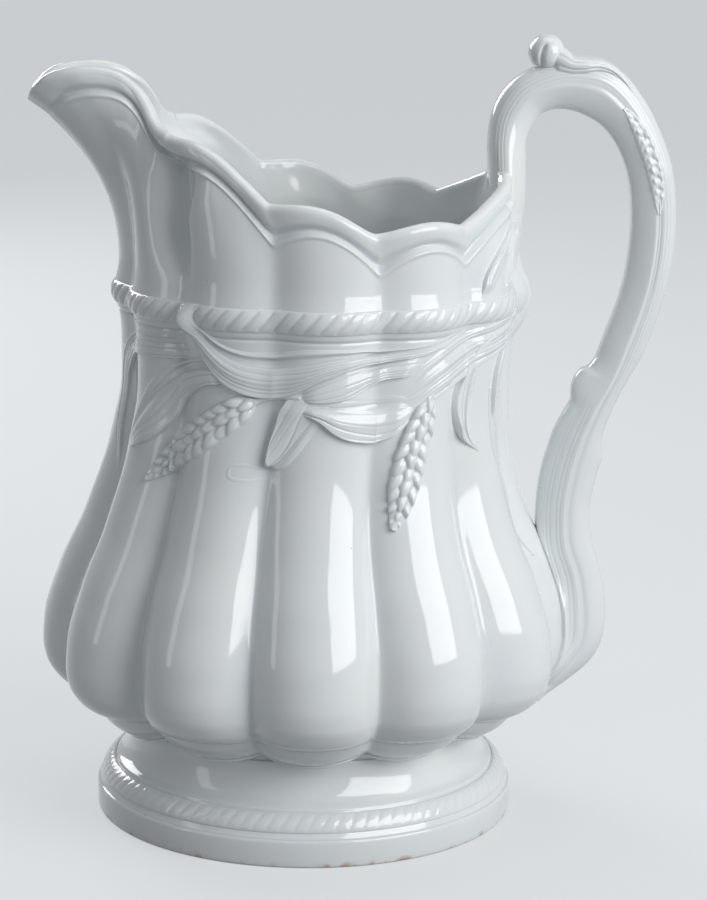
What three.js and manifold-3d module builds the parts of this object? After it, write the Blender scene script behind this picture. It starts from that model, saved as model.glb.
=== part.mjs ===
// A tall white ironstone pitcher: a twelve-lobed body on a spreading foot, with a scalloped rim,
// a beaked spout, a rope moulding round the neck, wheat ears and leaves in relief, and a loop handle.
// Millimetres, +Z up. The spout points along -X, the handle along +X, and XZ is the mirror plane.
// Angles round the body are in degrees from the near side (-Y) towards the handle (+X).
import * as THREE from 'three';
import Module from 'manifold-3d';
import { mergeVertices } from 'three/addons/utils/BufferGeometryUtils.js';

const wasm = await Module();
wasm.setup();

// Driving dimensions: foot and waist
const FOOT_RADIUS = 82;            // outside of the foot ring
const FOOT_FLOOR_WIDTH = 9;        // unglazed ring that stands on the table
const FOOT_EDGE_HEIGHT = 10.5;     // straight side of the foot ring
const FOOT_HEIGHT = 35.7;          // table to the waist joint
const WAIST_RADIUS = 67.2;         // narrowest part, at the joint
const FOOT_WALL = 8;
const FOOT_EDGE_ROUND = 0.6;       // worn off the ring's outer edge
const FOOT_RING_TAPER = 3;         // the ring's inner side leans in by this
const FOOT_ROPE_HEIGHT = 16;       // rope moulding on the foot's shoulder
const FOOT_ROPE_THICKNESS = 6.5;

// Driving dimensions: body
const LOBES = 12;
const FLANGE_HEIGHT = 38.4;        // scalloped lip under the lobes
const FLANGE_RADIUS = 75.5;
const PETAL_HEIGHT = 47;           // where the lobes end as petals
const PETAL_RADIUS = 90;
const BELLY_HEIGHT = 67;
const BELLY_RADIUS = 103.4;
const NECK_HEIGHT = 172;
const NECK_RADIUS = 75.4;
const ROPE_HEIGHT = 205.5;         // centre of the neck's rope moulding
const ROPE_BODY_RADIUS = 76.6;     // body under that rope
const NECK_TOP_RADIUS = 77;        // body just above it
const ROPE_THICKNESS = 8.4;
const NECK_LEAN = 3.7;             // the neck sits this far towards the handle
const LOBE_DEPTH_BELLY = 11.5;     // crest to groove
const LOBE_DEPTH_PETAL = 9;
const LOBE_DEPTH_NECK = 3.8;
const WALL = 5.4;
const FLOOR_RADIUS = 62;           // loose disc pressed in as the vessel's floor
const FLOOR_THICKNESS = 8;
const FLOOR_RISE = 2;              // the disc's underside above the waist joint
const FLOOR_CROWN = 1;             // it is this much thicker in the middle

// Driving dimensions: rim and spout, as rises above the rope's centre
const RIM_RADIUS = 80;             // crest of the scallops about the leaning neck
const RIM_LOBE_DEPTH = 3.6;
const SCALLOP_ARCH = 4.8;          // each scallop's rise above its two cusps
const CUSP_RISE_SPOUT = 64.5;      // cusps from the spout round to the handle
const CUSP_RISE_SIDE = 42.1;
const CUSP_RISE_LOW = 31.6;
const CUSP_RISE_BACK = 31.7;
const CUSP_RISE_HANDLE = 50;
const CUSP_RISE_LIMB = 58;         // where the rim runs up into the handle
const RIM_ROLL_HEIGHT = 6;         // rounded roll outside the rim
const RIM_ROLL = 1.2;              // how far the wall under it is drawn in
const SPOUT_REACH = 108;           // axis to the spout's tip
const SPOUT_HALF_WIDTH = 17;
const SPOUT_TIP_RISE = 75;
const SPOUT_CREST_RISE = 86.1;

// Driving dimensions: handle
const HANDLE_TOP_ROOT = 240;       // height where the handle leaves the rim
const HANDLE_LOW_ROOT = 58;        // height where it meets the belly
const HANDLE_RISE = 45.5;          // top of its centre line above the top root
const HANDLE_REACH = 50;           // how far the centre line stands out
const HANDLE_DEPTH = 17.6;         // thickness seen from the side
const HANDLE_WIDTH = 19;           // width seen from the spout
const SCROLL_RADIUS = 6.2;         // thumb rest on top
const SCROLL_WIDTH = 15;
const BUD_LENGTH = 19;             // buds low on the handle's inner and outer side
const BUD_RELIEF = 3.2;
const HANDLE_EAR_GRAINS = 9;       // on each flat side of the handle

// Driving dimensions: reliefs
const RELIEF_SPAN = 100;           // hangs down this far from the neck's rope
const LEAF_RELIEF = 2.4;
const GRAIN_LENGTH = 11.5;
const GRAIN_WIDTH = 6;
const GRAIN_RELIEF = 3.4;
const GAP = 0.32;                  // left for the slip in every luted joint

const BODY_COLOUR = 0xe3e9ee;
const RELIEF_COLOUR = 0xe6ecf0;
const FOOT_COLOUR = 0xe0e6eb;
const ROUGHNESS = 0.12;
const STEPS_PER_LOBE = 6;
const COLUMNS = LOBES * STEPS_PER_LOBE;
const LOBE_HALF = 180 / LOBES;

const radians = THREE.MathUtils.degToRad;
const lerp = THREE.MathUtils.lerp;
const clamp = THREE.MathUtils.clamp;

// A smooth curve through the knots [x, y] that never overshoots between two of them.
function smooth(knots) {
  const last = knots.length - 1;
  const run = (i) => knots[i + 1][0] - knots[i][0];
  const rate = (i) => (knots[i + 1][1] - knots[i][1]) / run(i);
  const slopes = knots.map((knot, i) => {
    if (i === 0) return rate(0);
    if (i === last) return rate(last - 1);
    const before = rate(i - 1);
    const after = rate(i);
    if (before * after <= 0) return 0;
    const weightBefore = 2 * run(i) + run(i - 1);
    const weightAfter = run(i) + 2 * run(i - 1);
    return (weightBefore + weightAfter) / (weightBefore / before + weightAfter / after);
  });
  return (value) => {
    const x = clamp(value, knots[0][0], knots[last][0]);
    let i = 0;
    while (i < last - 1 && x > knots[i + 1][0]) i += 1;
    const t = (x - knots[i][0]) / run(i);
    const rise = 3 * t ** 2 - 2 * t ** 3;
    const leaving = (t ** 3 - 2 * t ** 2 + t) * run(i) * slopes[i];
    const arriving = (t ** 3 - t ** 2) * run(i) * slopes[i + 1];
    return lerp(knots[i][1], knots[i + 1][1], rise) + leaving + arriving;
  };
}

// Knots between two ends, given as shares of the way in height and in value.
function between([x0, y0], [x1, y1], shares) {
  return shares.map(([along, across]) => [lerp(x0, x1, along), lerp(y0, y1, across)]);
}

// Body profile
const NECK_TOP = ROPE_HEIGHT + ROPE_THICKNESS;
const flangeEnd = [FLANGE_HEIGHT, FLANGE_RADIUS];
const petalEnd = [PETAL_HEIGHT, PETAL_RADIUS];
const bellyEnd = [BELLY_HEIGHT, BELLY_RADIUS];
const neckEnd = [NECK_HEIGHT, NECK_RADIUS];
const PETAL_SHARES = [[0.27, 0.52], [0.6, 0.89]];
const crestRadius = smooth([
  flangeEnd,
  ...between(flangeEnd, petalEnd, [[0.48, 0.58]]),
  petalEnd,
  ...between(petalEnd, bellyEnd, PETAL_SHARES),
  bellyEnd,
  ...between(bellyEnd, neckEnd, [[0.09, 0.03], [0.29, 0.24], [0.51, 0.61], [0.79, 0.915]]),
  neckEnd,
  [ROPE_HEIGHT, ROPE_BODY_RADIUS],
  [NECK_TOP, NECK_TOP_RADIUS],
]);
const lobeDepth = smooth([
  [FLANGE_HEIGHT, LOBE_DEPTH_NECK],
  [PETAL_HEIGHT, LOBE_DEPTH_PETAL],
  [BELLY_HEIGHT, LOBE_DEPTH_BELLY],
  ...between([BELLY_HEIGHT, LOBE_DEPTH_BELLY], [NECK_HEIGHT, LOBE_DEPTH_NECK], [[0.3, 0.2], [0.6, 0.58]]),
  [NECK_HEIGHT, LOBE_DEPTH_NECK],
  [NECK_TOP, LOBE_DEPTH_NECK],
]);
const LEAN_SHARES = [[0.5, 0], [0.8, 0.33], [1, 0.8]];   // of the way up to the neck, of the whole lean
const lean = smooth([
  [FLANGE_HEIGHT, 0],
  ...between([BELLY_HEIGHT, 0], [NECK_HEIGHT, NECK_LEAN], LEAN_SHARES),
  [NECK_TOP, NECK_LEAN],
]);

// 0 on the crest of a lobe, 1 in the groove: a round arc, eased where two lobes meet.
const ARC_FULLNESS = 0.8;
const GROOVE_EASE = 0.06;
function grooveShare(angle) {
  const turn = 2 * LOBE_HALF;
  const wrapped = ((((angle + LOBE_HALF) % turn) + turn) % turn) - LOBE_HALF;
  const phase = Math.abs(wrapped) / LOBE_HALF;
  const start = 1 + GROOVE_EASE - Math.hypot(1, GROOVE_EASE);
  const eased = (1 + GROOVE_EASE - Math.hypot(1 - phase, GROOVE_EASE) - start) / (1 - start);
  const drop = (share) => 1 - Math.sqrt(1 - (ARC_FULLNESS * share) ** 2);
  return drop(eased) / drop(1);
}

// A point at a radius about the body's centre line at that height.
function aroundBody(angle, radius, height) {
  const a = radians(angle);
  return new THREE.Vector3(lean(height) + radius * Math.sin(a), -radius * Math.cos(a), height);
}

function lowerPoint(angle, height) {
  return aroundBody(angle, crestRadius(height) - lobeDepth(height) * grooveShare(angle), height);
}

// Rim: scallops between cusps, and the lip of the spout from its tip back to the first cusp. The
// last lobe has no arch: it runs up into the handle.
const CUSP_FIRST = -3 * LOBE_HALF;
const CUSP_RISES = [CUSP_RISE_SPOUT, CUSP_RISE_SIDE, CUSP_RISE_LOW, CUSP_RISE_BACK, CUSP_RISE_HANDLE];
const ARCH_POWER = 2.2;

function scallopHeight(angle) {
  const last = CUSP_RISES.length - 1;
  const place = (angle - CUSP_FIRST) / (2 * LOBE_HALF);
  if (place >= last) {
    const towardsLimb = clamp(2 * (place - last), 0, 1);
    return ROPE_HEIGHT + lerp(CUSP_RISES[last], CUSP_RISE_LIMB, towardsLimb);
  }
  const cusp = Math.max(Math.floor(place), 0);
  const share = place - cusp;
  const arch = SCALLOP_ARCH * (1 - Math.abs(2 * share - 1) ** ARCH_POWER);
  return ROPE_HEIGHT + lerp(CUSP_RISES[cusp], CUSP_RISES[cusp + 1], share) + arch;
}

const cuspPoint = new THREE.Vector2(
  NECK_LEAN + (RIM_RADIUS - RIM_LOBE_DEPTH) * Math.sin(radians(CUSP_FIRST)),
  (RIM_RADIUS - RIM_LOBE_DEPTH) * Math.cos(radians(CUSP_FIRST)),
);

// The lip as shares: along from the tip to the cusp, out to the spout's half width, up from the
// cusp to the crest.
function lipPoint(along, out, up, tipUp = 0) {
  const x = lerp(-SPOUT_REACH, cuspPoint.x, along);
  const y = out <= 1 ? SPOUT_HALF_WIDTH * out : lerp(SPOUT_HALF_WIDTH, cuspPoint.y, out - 1);
  const crest = lerp(CUSP_RISE_SPOUT, SPOUT_CREST_RISE, up);
  const drop = tipUp * (SPOUT_CREST_RISE - SPOUT_TIP_RISE);
  return new THREE.Vector3(x, y, ROPE_HEIGHT + crest - drop);
}

const lip = new THREE.CatmullRomCurve3([
  lipPoint(0, 0, 1, 1),
  lipPoint(0.045, 0.5, 1, 0.85),
  lipPoint(0.13, 0.8, 1, 0.54),
  lipPoint(0.25, 0.95, 1, 0.22),
  lipPoint(0.38, 1, 1, 0.03),
  lipPoint(0.52, 1.01, 1, 0),
  lipPoint(0.64, 1.02, 0.93, 0),
  lipPoint(0.73, 1.06, 0.78, 0),
  lipPoint(0.8, 1.15, 0.56, 0),
  lipPoint(0.86, 1.34, 0.3, 0),
  lipPoint(0.92, 1.62, 0.11, 0),
  lipPoint(1, 2, 0, 0),
], false, 'centripetal');

function rimPoint(angle) {
  const wrapped = THREE.MathUtils.euclideanModulo(angle + 180, 360) - 180;
  const far = Math.abs(wrapped) > 90;
  const folded = far ? Math.sign(wrapped) * 180 - wrapped : wrapped;
  const side = far ? 1 : -1;
  if (folded < CUSP_FIRST) {
    const point = lip.getPointAt(clamp((folded + 90) / (CUSP_FIRST + 90), 0, 1));
    return new THREE.Vector3(point.x, point.y * side, point.z);
  }
  const radius = RIM_RADIUS - RIM_LOBE_DEPTH * grooveShare(folded);
  const a = radians(folded);
  const x = NECK_LEAN + radius * Math.sin(a);
  return new THREE.Vector3(x, radius * Math.cos(a) * side, scallopHeight(folded));
}

// Upper wall: from the ring above the rope to the rim, bending outwards towards the rim.
const FLARE_POWER = 2.4;
function upperPoint(angle, share) {
  const low = lowerPoint(angle, NECK_TOP);
  const high = rimPoint(angle);
  const flare = share ** FLARE_POWER;
  const x = lerp(low.x, high.x, flare);
  const y = lerp(low.y, high.y, flare);
  return new THREE.Vector3(x, y, lerp(low.z, high.z, share));
}

// The outside surface at an angle and a height, and a point that stands off it.
const PROBE_ANGLE = 1.5;
const PROBE_HEIGHT = 1;
function outside(angle, height) {
  if (height <= NECK_TOP) return lowerPoint(angle, height);
  const top = rimPoint(angle).z;
  return upperPoint(angle, clamp((height - NECK_TOP) / (top - NECK_TOP), 0, 1));
}

function standOff(angle, height, distance) {
  const point = outside(angle, height);
  const around = outside(angle + PROBE_ANGLE, height).sub(outside(angle - PROBE_ANGLE, height));
  const upward = outside(angle, height + PROBE_HEIGHT).sub(outside(angle, height - PROBE_HEIGHT));
  return point.addScaledVector(around.cross(upward).normalize(), distance);
}

// Wall rings: every ring has one point per column.
const columnAngles = Array.from({ length: COLUMNS }, (_, i) => -90 + (360 * i) / COLUMNS);

// Moves a ring sideways along its own plan normal; a negative distance goes inwards.
function offsetRing(ring, distance, rise = 0) {
  return ring.map((point, i) => {
    const before = ring[(i + ring.length - 1) % ring.length];
    const after = ring[(i + 1) % ring.length];
    const tangent = new THREE.Vector2(after.x - before.x, after.y - before.y).normalize();
    const outward = new THREE.Vector3(tangent.y, -tangent.x, 0);
    return point.clone().addScaledVector(outward, distance).setZ(point.z + rise);
  });
}

const OUTER_HEIGHTS = [
  FLANGE_HEIGHT,
  lerp(FLANGE_HEIGHT, PETAL_HEIGHT, 0.5),
  PETAL_HEIGHT,
  ...PETAL_SHARES.map(([along]) => lerp(PETAL_HEIGHT, BELLY_HEIGHT, along)),
  BELLY_HEIGHT,
  ...[0.12, 0.26, 0.4, 0.54, 0.7, 0.85].map((share) => lerp(BELLY_HEIGHT, NECK_HEIGHT, share)),
  NECK_HEIGHT,
  ROPE_HEIGHT - ROPE_THICKNESS,
  NECK_TOP,
];
const UPPER_SHARES = [0.3, 0.56, 0.8];
const INNER_SHARES = [0.8, 0.5];
const RIM_CROWN = 1.4;
const RIM_ROLL_MIDDLE = 0.6;       // the roll is full at this share of its height
const HEEL_THICKENING = 1.3;       // of the wall, where it turns in towards the floor

const heightRing = (height) => columnAngles.map((angle) => lowerPoint(angle, height));
const plainRing = (radius, height) => columnAngles.map((angle) => aroundBody(angle, radius, height));

// A ring that lies the same depth under the rim all round, and one at a share of the wall below.
const rimRing = (depth) => columnAngles.map((angle) => {
  const span = rimPoint(angle).z - NECK_TOP;
  return upperPoint(angle, 1 - depth / span);
});
const shareRing = (share) => columnAngles.map((angle) => {
  const span = rimPoint(angle).z - NECK_TOP;
  return upperPoint(angle, share * (1 - RIM_ROLL_HEIGHT / span));
});
const outerRings = (gap) => [
  ...OUTER_HEIGHTS.map((height) => offsetRing(heightRing(height), gap)),
  ...UPPER_SHARES.map((share) => offsetRing(shareRing(share), gap)),
  offsetRing(rimRing(RIM_ROLL_HEIGHT), gap - RIM_ROLL),
  offsetRing(rimRing(RIM_ROLL_HEIGHT * RIM_ROLL_MIDDLE), gap),
  offsetRing(rimRing(0), gap),
];

// Floor of the vessel
const WAIST_JOINT = FOOT_HEIGHT + GAP;
const FLOOR_BOTTOM = WAIST_JOINT + FLOOR_RISE;
const FLOOR_TOP = FLOOR_BOTTOM + FLOOR_THICKNESS;
const FLOOR_SEAT = FLOOR_RADIUS + GAP;

function innerRings(gap) {
  const thickness = WALL + gap;
  const bellyHeights = [0.7, 0.4, 0.12].map((share) => lerp(BELLY_HEIGHT, NECK_HEIGHT, share));
  const heelHeight = lerp(PETAL_HEIGHT, BELLY_HEIGHT, PETAL_SHARES[1][0]);
  const petalInside = PETAL_RADIUS - WALL - LOBE_DEPTH_PETAL * 0.3;
  return [
    offsetRing(rimRing(0), -thickness / 2, RIM_CROWN + gap),
    offsetRing(rimRing(0), -thickness),
    ...INNER_SHARES.map((share) => offsetRing(shareRing(share), -thickness)),
    offsetRing(heightRing(NECK_TOP), -thickness),
    offsetRing(heightRing(NECK_HEIGHT), -thickness),
    ...bellyHeights.map((height) => offsetRing(heightRing(height), -thickness)),
    offsetRing(heightRing(heelHeight), -thickness * HEEL_THICKENING),
    plainRing(petalInside, FLOOR_TOP + WALL),
    plainRing(lerp(FLOOR_RADIUS, petalInside, 0.4), FLOOR_TOP + GAP),
    plainRing(FLOOR_SEAT, FLOOR_TOP),
    plainRing(FLOOR_SEAT, WAIST_JOINT),
    plainRing(WAIST_RADIUS, WAIST_JOINT),
  ];
}

// Solids from rings of points
function toGeometry(points, triangles) {
  const geometry = new THREE.BufferGeometry();
  const numbers = points.flatMap((p) => [p.x, p.y, p.z]);
  geometry.setAttribute('position', new THREE.Float32BufferAttribute(numbers, 3));
  geometry.setIndex(triangles);
  return geometry;
}

// Joins rings into a skin; with closed ends it gets a fan over its first and last ring.
function skin(rings, { closedEnds = true, loop = false } = {}) {
  const count = rings[0].length;
  const points = rings.flat();
  const triangles = [];
  const bands = loop ? rings.length : rings.length - 1;
  for (let band = 0; band < bands; band += 1) {
    const low = band * count;
    const high = ((band + 1) % rings.length) * count;
    for (let i = 0; i < count; i += 1) {
      const next = (i + 1) % count;
      triangles.push(low + i, low + next, high + next, low + i, high + next, high + i);
    }
  }
  if (closedEnds && !loop) {
    const centre = (ring) => ring.reduce((sum, p) => sum.add(p), new THREE.Vector3()).divideScalar(count);
    const top = (rings.length - 1) * count;
    points.push(centre(rings[0]), centre(rings[rings.length - 1]));
    for (let i = 0; i < count; i += 1) {
      const next = (i + 1) % count;
      triangles.push(points.length - 2, next, i, points.length - 1, top + i, top + next);
    }
  }
  return toGeometry(points, triangles);
}

function solidOf(geometry) {
  const bare = geometry.clone();
  bare.deleteAttribute('normal');
  bare.deleteAttribute('uv');
  const welded = mergeVertices(bare, 1e-4);
  const solid = new wasm.Manifold(new wasm.Mesh({
    numProp: 3,
    vertProperties: new Float32Array(welded.attributes.position.array),
    triVerts: new Uint32Array(welded.index.array),
  }));
  return solid.volume() > 0 ? solid : solidOf(flipped(welded));
}

function flipped(geometry) {
  const turned = geometry.clone();
  const index = turned.index.array;
  for (let i = 0; i < index.length; i += 3) [index[i], index[i + 1]] = [index[i + 1], index[i]];
  return turned;
}

function geometryOf(solid) {
  const mesh = solid.getMesh();
  const geometry = new THREE.BufferGeometry();
  geometry.setAttribute('position', new THREE.BufferAttribute(new Float32Array(mesh.vertProperties), 3));
  geometry.setIndex(new THREE.BufferAttribute(new Uint32Array(mesh.triVerts), 1));
  return geometry;
}

// The main body of a cut solid, without the slivers that a cut can leave.
function mainBody(solid) {
  return solid.decompose().reduce((best, body) => (body.volume() > best.volume() ? body : best));
}

function mirrored(solid) {
  return solid.mirror([0, 1, 0]);
}

// Body wall: one loop of points per column, from the flange up the outside and down the inside.
function sideWall(side) {
  const rings = [...outerRings(0), ...innerRings(0)];
  const half = COLUMNS / 2;
  const seam = GAP / 2;
  const loops = [];
  for (let i = 0; i <= half; i += 1) {
    const column = side < 0 ? i : (half + i) % COLUMNS;
    loops.push(rings.map((ring) => {
      const point = ring[column].clone();
      point.y = side * Math.max(side * point.y, seam);
      return point;
    }));
  }
  const wall = skin(loops, { closedEnds: false });
  const triangles = [...wall.index.array];
  const flat = (loop) => loop.map((point) => new THREE.Vector2(point.x, point.z));
  const capOf = (loop) => THREE.ShapeUtils.triangulateShape(flat(loop), []);
  const first = orientedCap(capOf(loops[0]), loops[0], 1, 0);
  const last = orientedCap(capOf(loops[half]), loops[half], -1, half * rings.length);
  return solidOf(toGeometry(loops.flat(), [...triangles, ...first, ...last]));
}

// Turns a cap's triangles so that each edge runs against the skin's own edge beside it.
function orientedCap(faces, loop, runs, offset) {
  const forward = (a, b) => (b - a + loop.length) % loop.length === 1;
  const turned = faces.some(([a, b, c]) => forward(a, b) || forward(b, c) || forward(c, a));
  return faces.flatMap(([a, b, c]) => (turned === runs > 0 ? [b, a, c] : [a, b, c]).map((i) => i + offset));
}

const nearWall = sideWall(-1);
const farWall = sideWall(1);
const shellCutter = solidOf(skin([...outerRings(GAP), ...innerRings(GAP)], { loop: true }));
const fullCutter = solidOf(skin(outerRings(GAP)));
const bellyCutter = solidOf(skin(outerRings(GAP).slice(0, OUTER_HEIGHTS.length - 2)));

// Foot and floor, turned on the wheel
const TURN_STEPS = 48;
function turned(profile) {
  const points = profile.map(([radius, height]) => new THREE.Vector2(radius, height));
  const lathe = new THREE.LatheGeometry([...points, points[0].clone()], TURN_STEPS);
  lathe.rotateX(Math.PI / 2);
  return solidOf(lathe);
}

const shoulderDrop = FOOT_RADIUS - WAIST_RADIUS;
const shoulderRise = FOOT_HEIGHT - FOOT_EDGE_HEIGHT;
const SHOULDER_SHARES = [
  [0, 0], [0.08, 0.12], [0.25, 0.34], [0.42, 0.61], [0.58, 0.81], [0.78, 0.95], [1, 1],
];
const FOOT_SHOULDER = SHOULDER_SHARES.map(([up, inward]) => [
  FOOT_RADIUS - shoulderDrop * inward,
  FOOT_EDGE_HEIGHT + shoulderRise * up,
]);
const footRadiusAt = smooth(FOOT_SHOULDER.map(([radius, height]) => [height, radius]));

function makeFoot() {
  const ringInside = FOOT_RADIUS - FOOT_FLOOR_WIDTH;
  return turned([
    [ringInside, 0],
    [FOOT_RADIUS - FOOT_EDGE_ROUND, 0],
    ...FOOT_SHOULDER,
    [FLOOR_RADIUS - FOOT_WALL, FOOT_HEIGHT],
    [FLOOR_RADIUS - FOOT_WALL, FOOT_HEIGHT - FOOT_WALL / 2],
    [WAIST_RADIUS - FOOT_WALL, FOOT_HEIGHT - FOOT_WALL],
    [ringInside - FOOT_RING_TAPER, FOOT_EDGE_HEIGHT],
  ]);
}

function makeFloor() {
  const crown = FLOOR_TOP + FLOOR_CROWN;
  return turned([[0, FLOOR_BOTTOM], [FLOOR_RADIUS, FLOOR_BOTTOM], [FLOOR_RADIUS, FLOOR_TOP], [0, crown]]);
}

// Half-round rope that lies on the foot's sloping shoulder
const FOOT_ROPE_SECTION = [[-1, 0], [-0.7, 0.6], [0, 0.8], [0.7, 0.6], [1, 0]];
const FOOT_ROPE_SEAT = 2.2;        // gaps between its flat side and a straight line down the shoulder
function makeFootRope() {
  const half = FOOT_ROPE_THICKNESS / 2;
  const low = new THREE.Vector2(footRadiusAt(FOOT_ROPE_HEIGHT - half), FOOT_ROPE_HEIGHT - half);
  const high = new THREE.Vector2(footRadiusAt(FOOT_ROPE_HEIGHT + half), FOOT_ROPE_HEIGHT + half);
  const along = high.clone().sub(low).normalize();
  const away = new THREE.Vector2(along.y, -along.x);
  const middle = low.clone().add(high).divideScalar(2);
  return turned(FOOT_ROPE_SECTION.map(([up, out]) => middle.clone()
    .addScaledVector(along, up * half)
    .addScaledVector(away, GAP * FOOT_ROPE_SEAT + out * half)
    .toArray()));
}

// Rope round the neck: a half-round strip that lies against the lobes
const ROPE_SECTION = [[-1, 0], [-0.75, 0.62], [0, 0.86], [0.75, 0.62], [1, 0]];
const CUT_DEPTH = 3;               // a grown copy reaches this many gaps into the wall
function makeNeckRope(grow) {
  const half = ROPE_THICKNESS / 2;
  const rings = columnAngles.map((angle) => ROPE_SECTION.map(([up, out]) => standOff(
    angle,
    ROPE_HEIGHT + up * (half + grow),
    out * half + GAP + (out > 0 ? grow : -grow * CUT_DEPTH),
  )));
  return solidOf(skin(rings, { loop: true }));
}

// Reliefs: each follows a line of stations [angle, drop below the rope, half width] on the body.
// Drops and half widths are in hundredths of the relief's span.
const relief = (stations) => stations.map(([angle, drop, half]) => ({
  angle,
  height: ROPE_HEIGHT - (RELIEF_SPAN * drop) / 100,
  half: (RELIEF_SPAN * half) / 100,
}));
const BURIED = 1.6;

function resample(stations, steps) {
  const curve = new THREE.CatmullRomCurve3(
    stations.map(({ angle, height, half }) => new THREE.Vector3(angle, height, half)),
    false,
    'centripetal',
  );
  return Array.from({ length: steps + 1 }, (_, i) => curve.getPoint(i / steps));
}

// A step sideways across the line, in degrees and in height, for a length in millimetres.
function sideways(points, i) {
  const before = points[Math.max(i - 1, 0)];
  const after = points[Math.min(i + 1, points.length - 1)];
  const perDegree = (Math.PI / 180) * crestRadius(Math.min(points[i].y, NECK_TOP));
  const along = new THREE.Vector2((after.x - before.x) * perDegree, after.y - before.y).normalize();
  return { angle: along.y / perDegree, height: -along.x };
}

// A leaf stands higher where it is wide: full height at LEAF_FULL_HALF and more beyond.
const LEAF_FULL_HALF = 4;
const LEAF_LEAST = 0.55;
const LEAF_MOST = 1.15;
const LEAF_SECTION = [[-1, 0.4], [0, 1], [1, 0.4]];
const LEAST_HALF = 0.5;
function makeLeaf(stations, { steps = 6, height = LEAF_RELIEF, grow = 0 } = {}) {
  const points = resample(stations, steps);
  const rings = points.map((point, i) => {
    const step = sideways(points, i);
    const half = Math.max(point.z, LEAST_HALF) + grow;
    const fullness = lerp(LEAF_LEAST, 1, point.z / LEAF_FULL_HALF);
    const swell = height * clamp(fullness, LEAF_LEAST, LEAF_MOST) + grow;
    const place = (across, rise) => standOff(
      point.x + step.angle * half * across,
      point.y + step.height * half * across,
      rise,
    );
    const face = LEAF_SECTION.map(([across, rise]) => place(across, swell * rise));
    return [...face, place(1, -BURIED), place(-1, -BURIED)];
  });
  return solidOf(skin(rings));
}

// A wheat ear: pairs of grains up both sides of its line and a row down the middle.
const EAR_ROW = 0.62;              // the side rows, as a share of the ear's half width
const EAR_SPINE = 0.84;            // the core under the grains, as a share of that half width
const EAR_SPINE_RELIEF = 0.62;     // and of the grains' relief
function makeEar(stations, { pairs = 4, grow = 0, length = GRAIN_LENGTH, width = GRAIN_WIDTH } = {}) {
  const points = resample(stations, pairs * 2);
  const grains = [];
  points.forEach((point, i) => {
    const step = sideways(points, i);
    const rows = i % 2 === 0 ? [0] : [-EAR_ROW, EAR_ROW];
    for (const across of rows) {
      const angle = point.x + step.angle * point.z * across;
      const height = point.y + step.height * point.z * across;
      grains.push(makeGrain(angle, height, step, across, point.z, { grow, length, width }));
    }
  });
  const spine = stations.map((station) => ({ ...station, half: station.half * EAR_SPINE }));
  const core = makeLeaf(spine, { steps: pairs * 2, height: GRAIN_RELIEF * EAR_SPINE_RELIEF, grow });
  return wasm.Manifold.union([...grains, core]);
}

const EAR_FULL_HALF = 5.5;         // grains get smaller where the ear is narrower than this
const GRAIN_LEAST = 0.45;
const GRAIN_SPLAY = 0.55;
const GRAIN_LIFT = 0.15;
function makeGrain(angle, height, step, across, half, { grow, length, width }) {
  const small = clamp(half / EAR_FULL_HALF, GRAIN_LEAST, 1);
  const ball = new THREE.SphereGeometry(1, 5, 3);
  ball.rotateX(Math.PI / 2);
  ball.scale(width / 2 + grow, length / 2 * small + grow, GRAIN_RELIEF * small + grow);
  const centre = standOff(angle, height, 0);
  const normal = standOff(angle, height, 1).sub(centre);
  const side = standOff(angle + step.angle, height + step.height, 0).sub(centre).normalize();
  const along = new THREE.Vector3().crossVectors(normal, side).normalize();
  side.crossVectors(along, normal).normalize();
  const splay = across * GRAIN_SPLAY;
  const leftward = side.clone().applyAxisAngle(normal.clone().normalize(), splay);
  const forward = along.clone().applyAxisAngle(normal.clone().normalize(), splay);
  const frame = new THREE.Matrix4().makeBasis(leftward, forward, normal.normalize());
  frame.setPosition(centre.addScaledVector(normal, GRAIN_RELIEF * GRAIN_LIFT));
  return solidOf(ball.applyMatrix4(frame));
}

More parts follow.
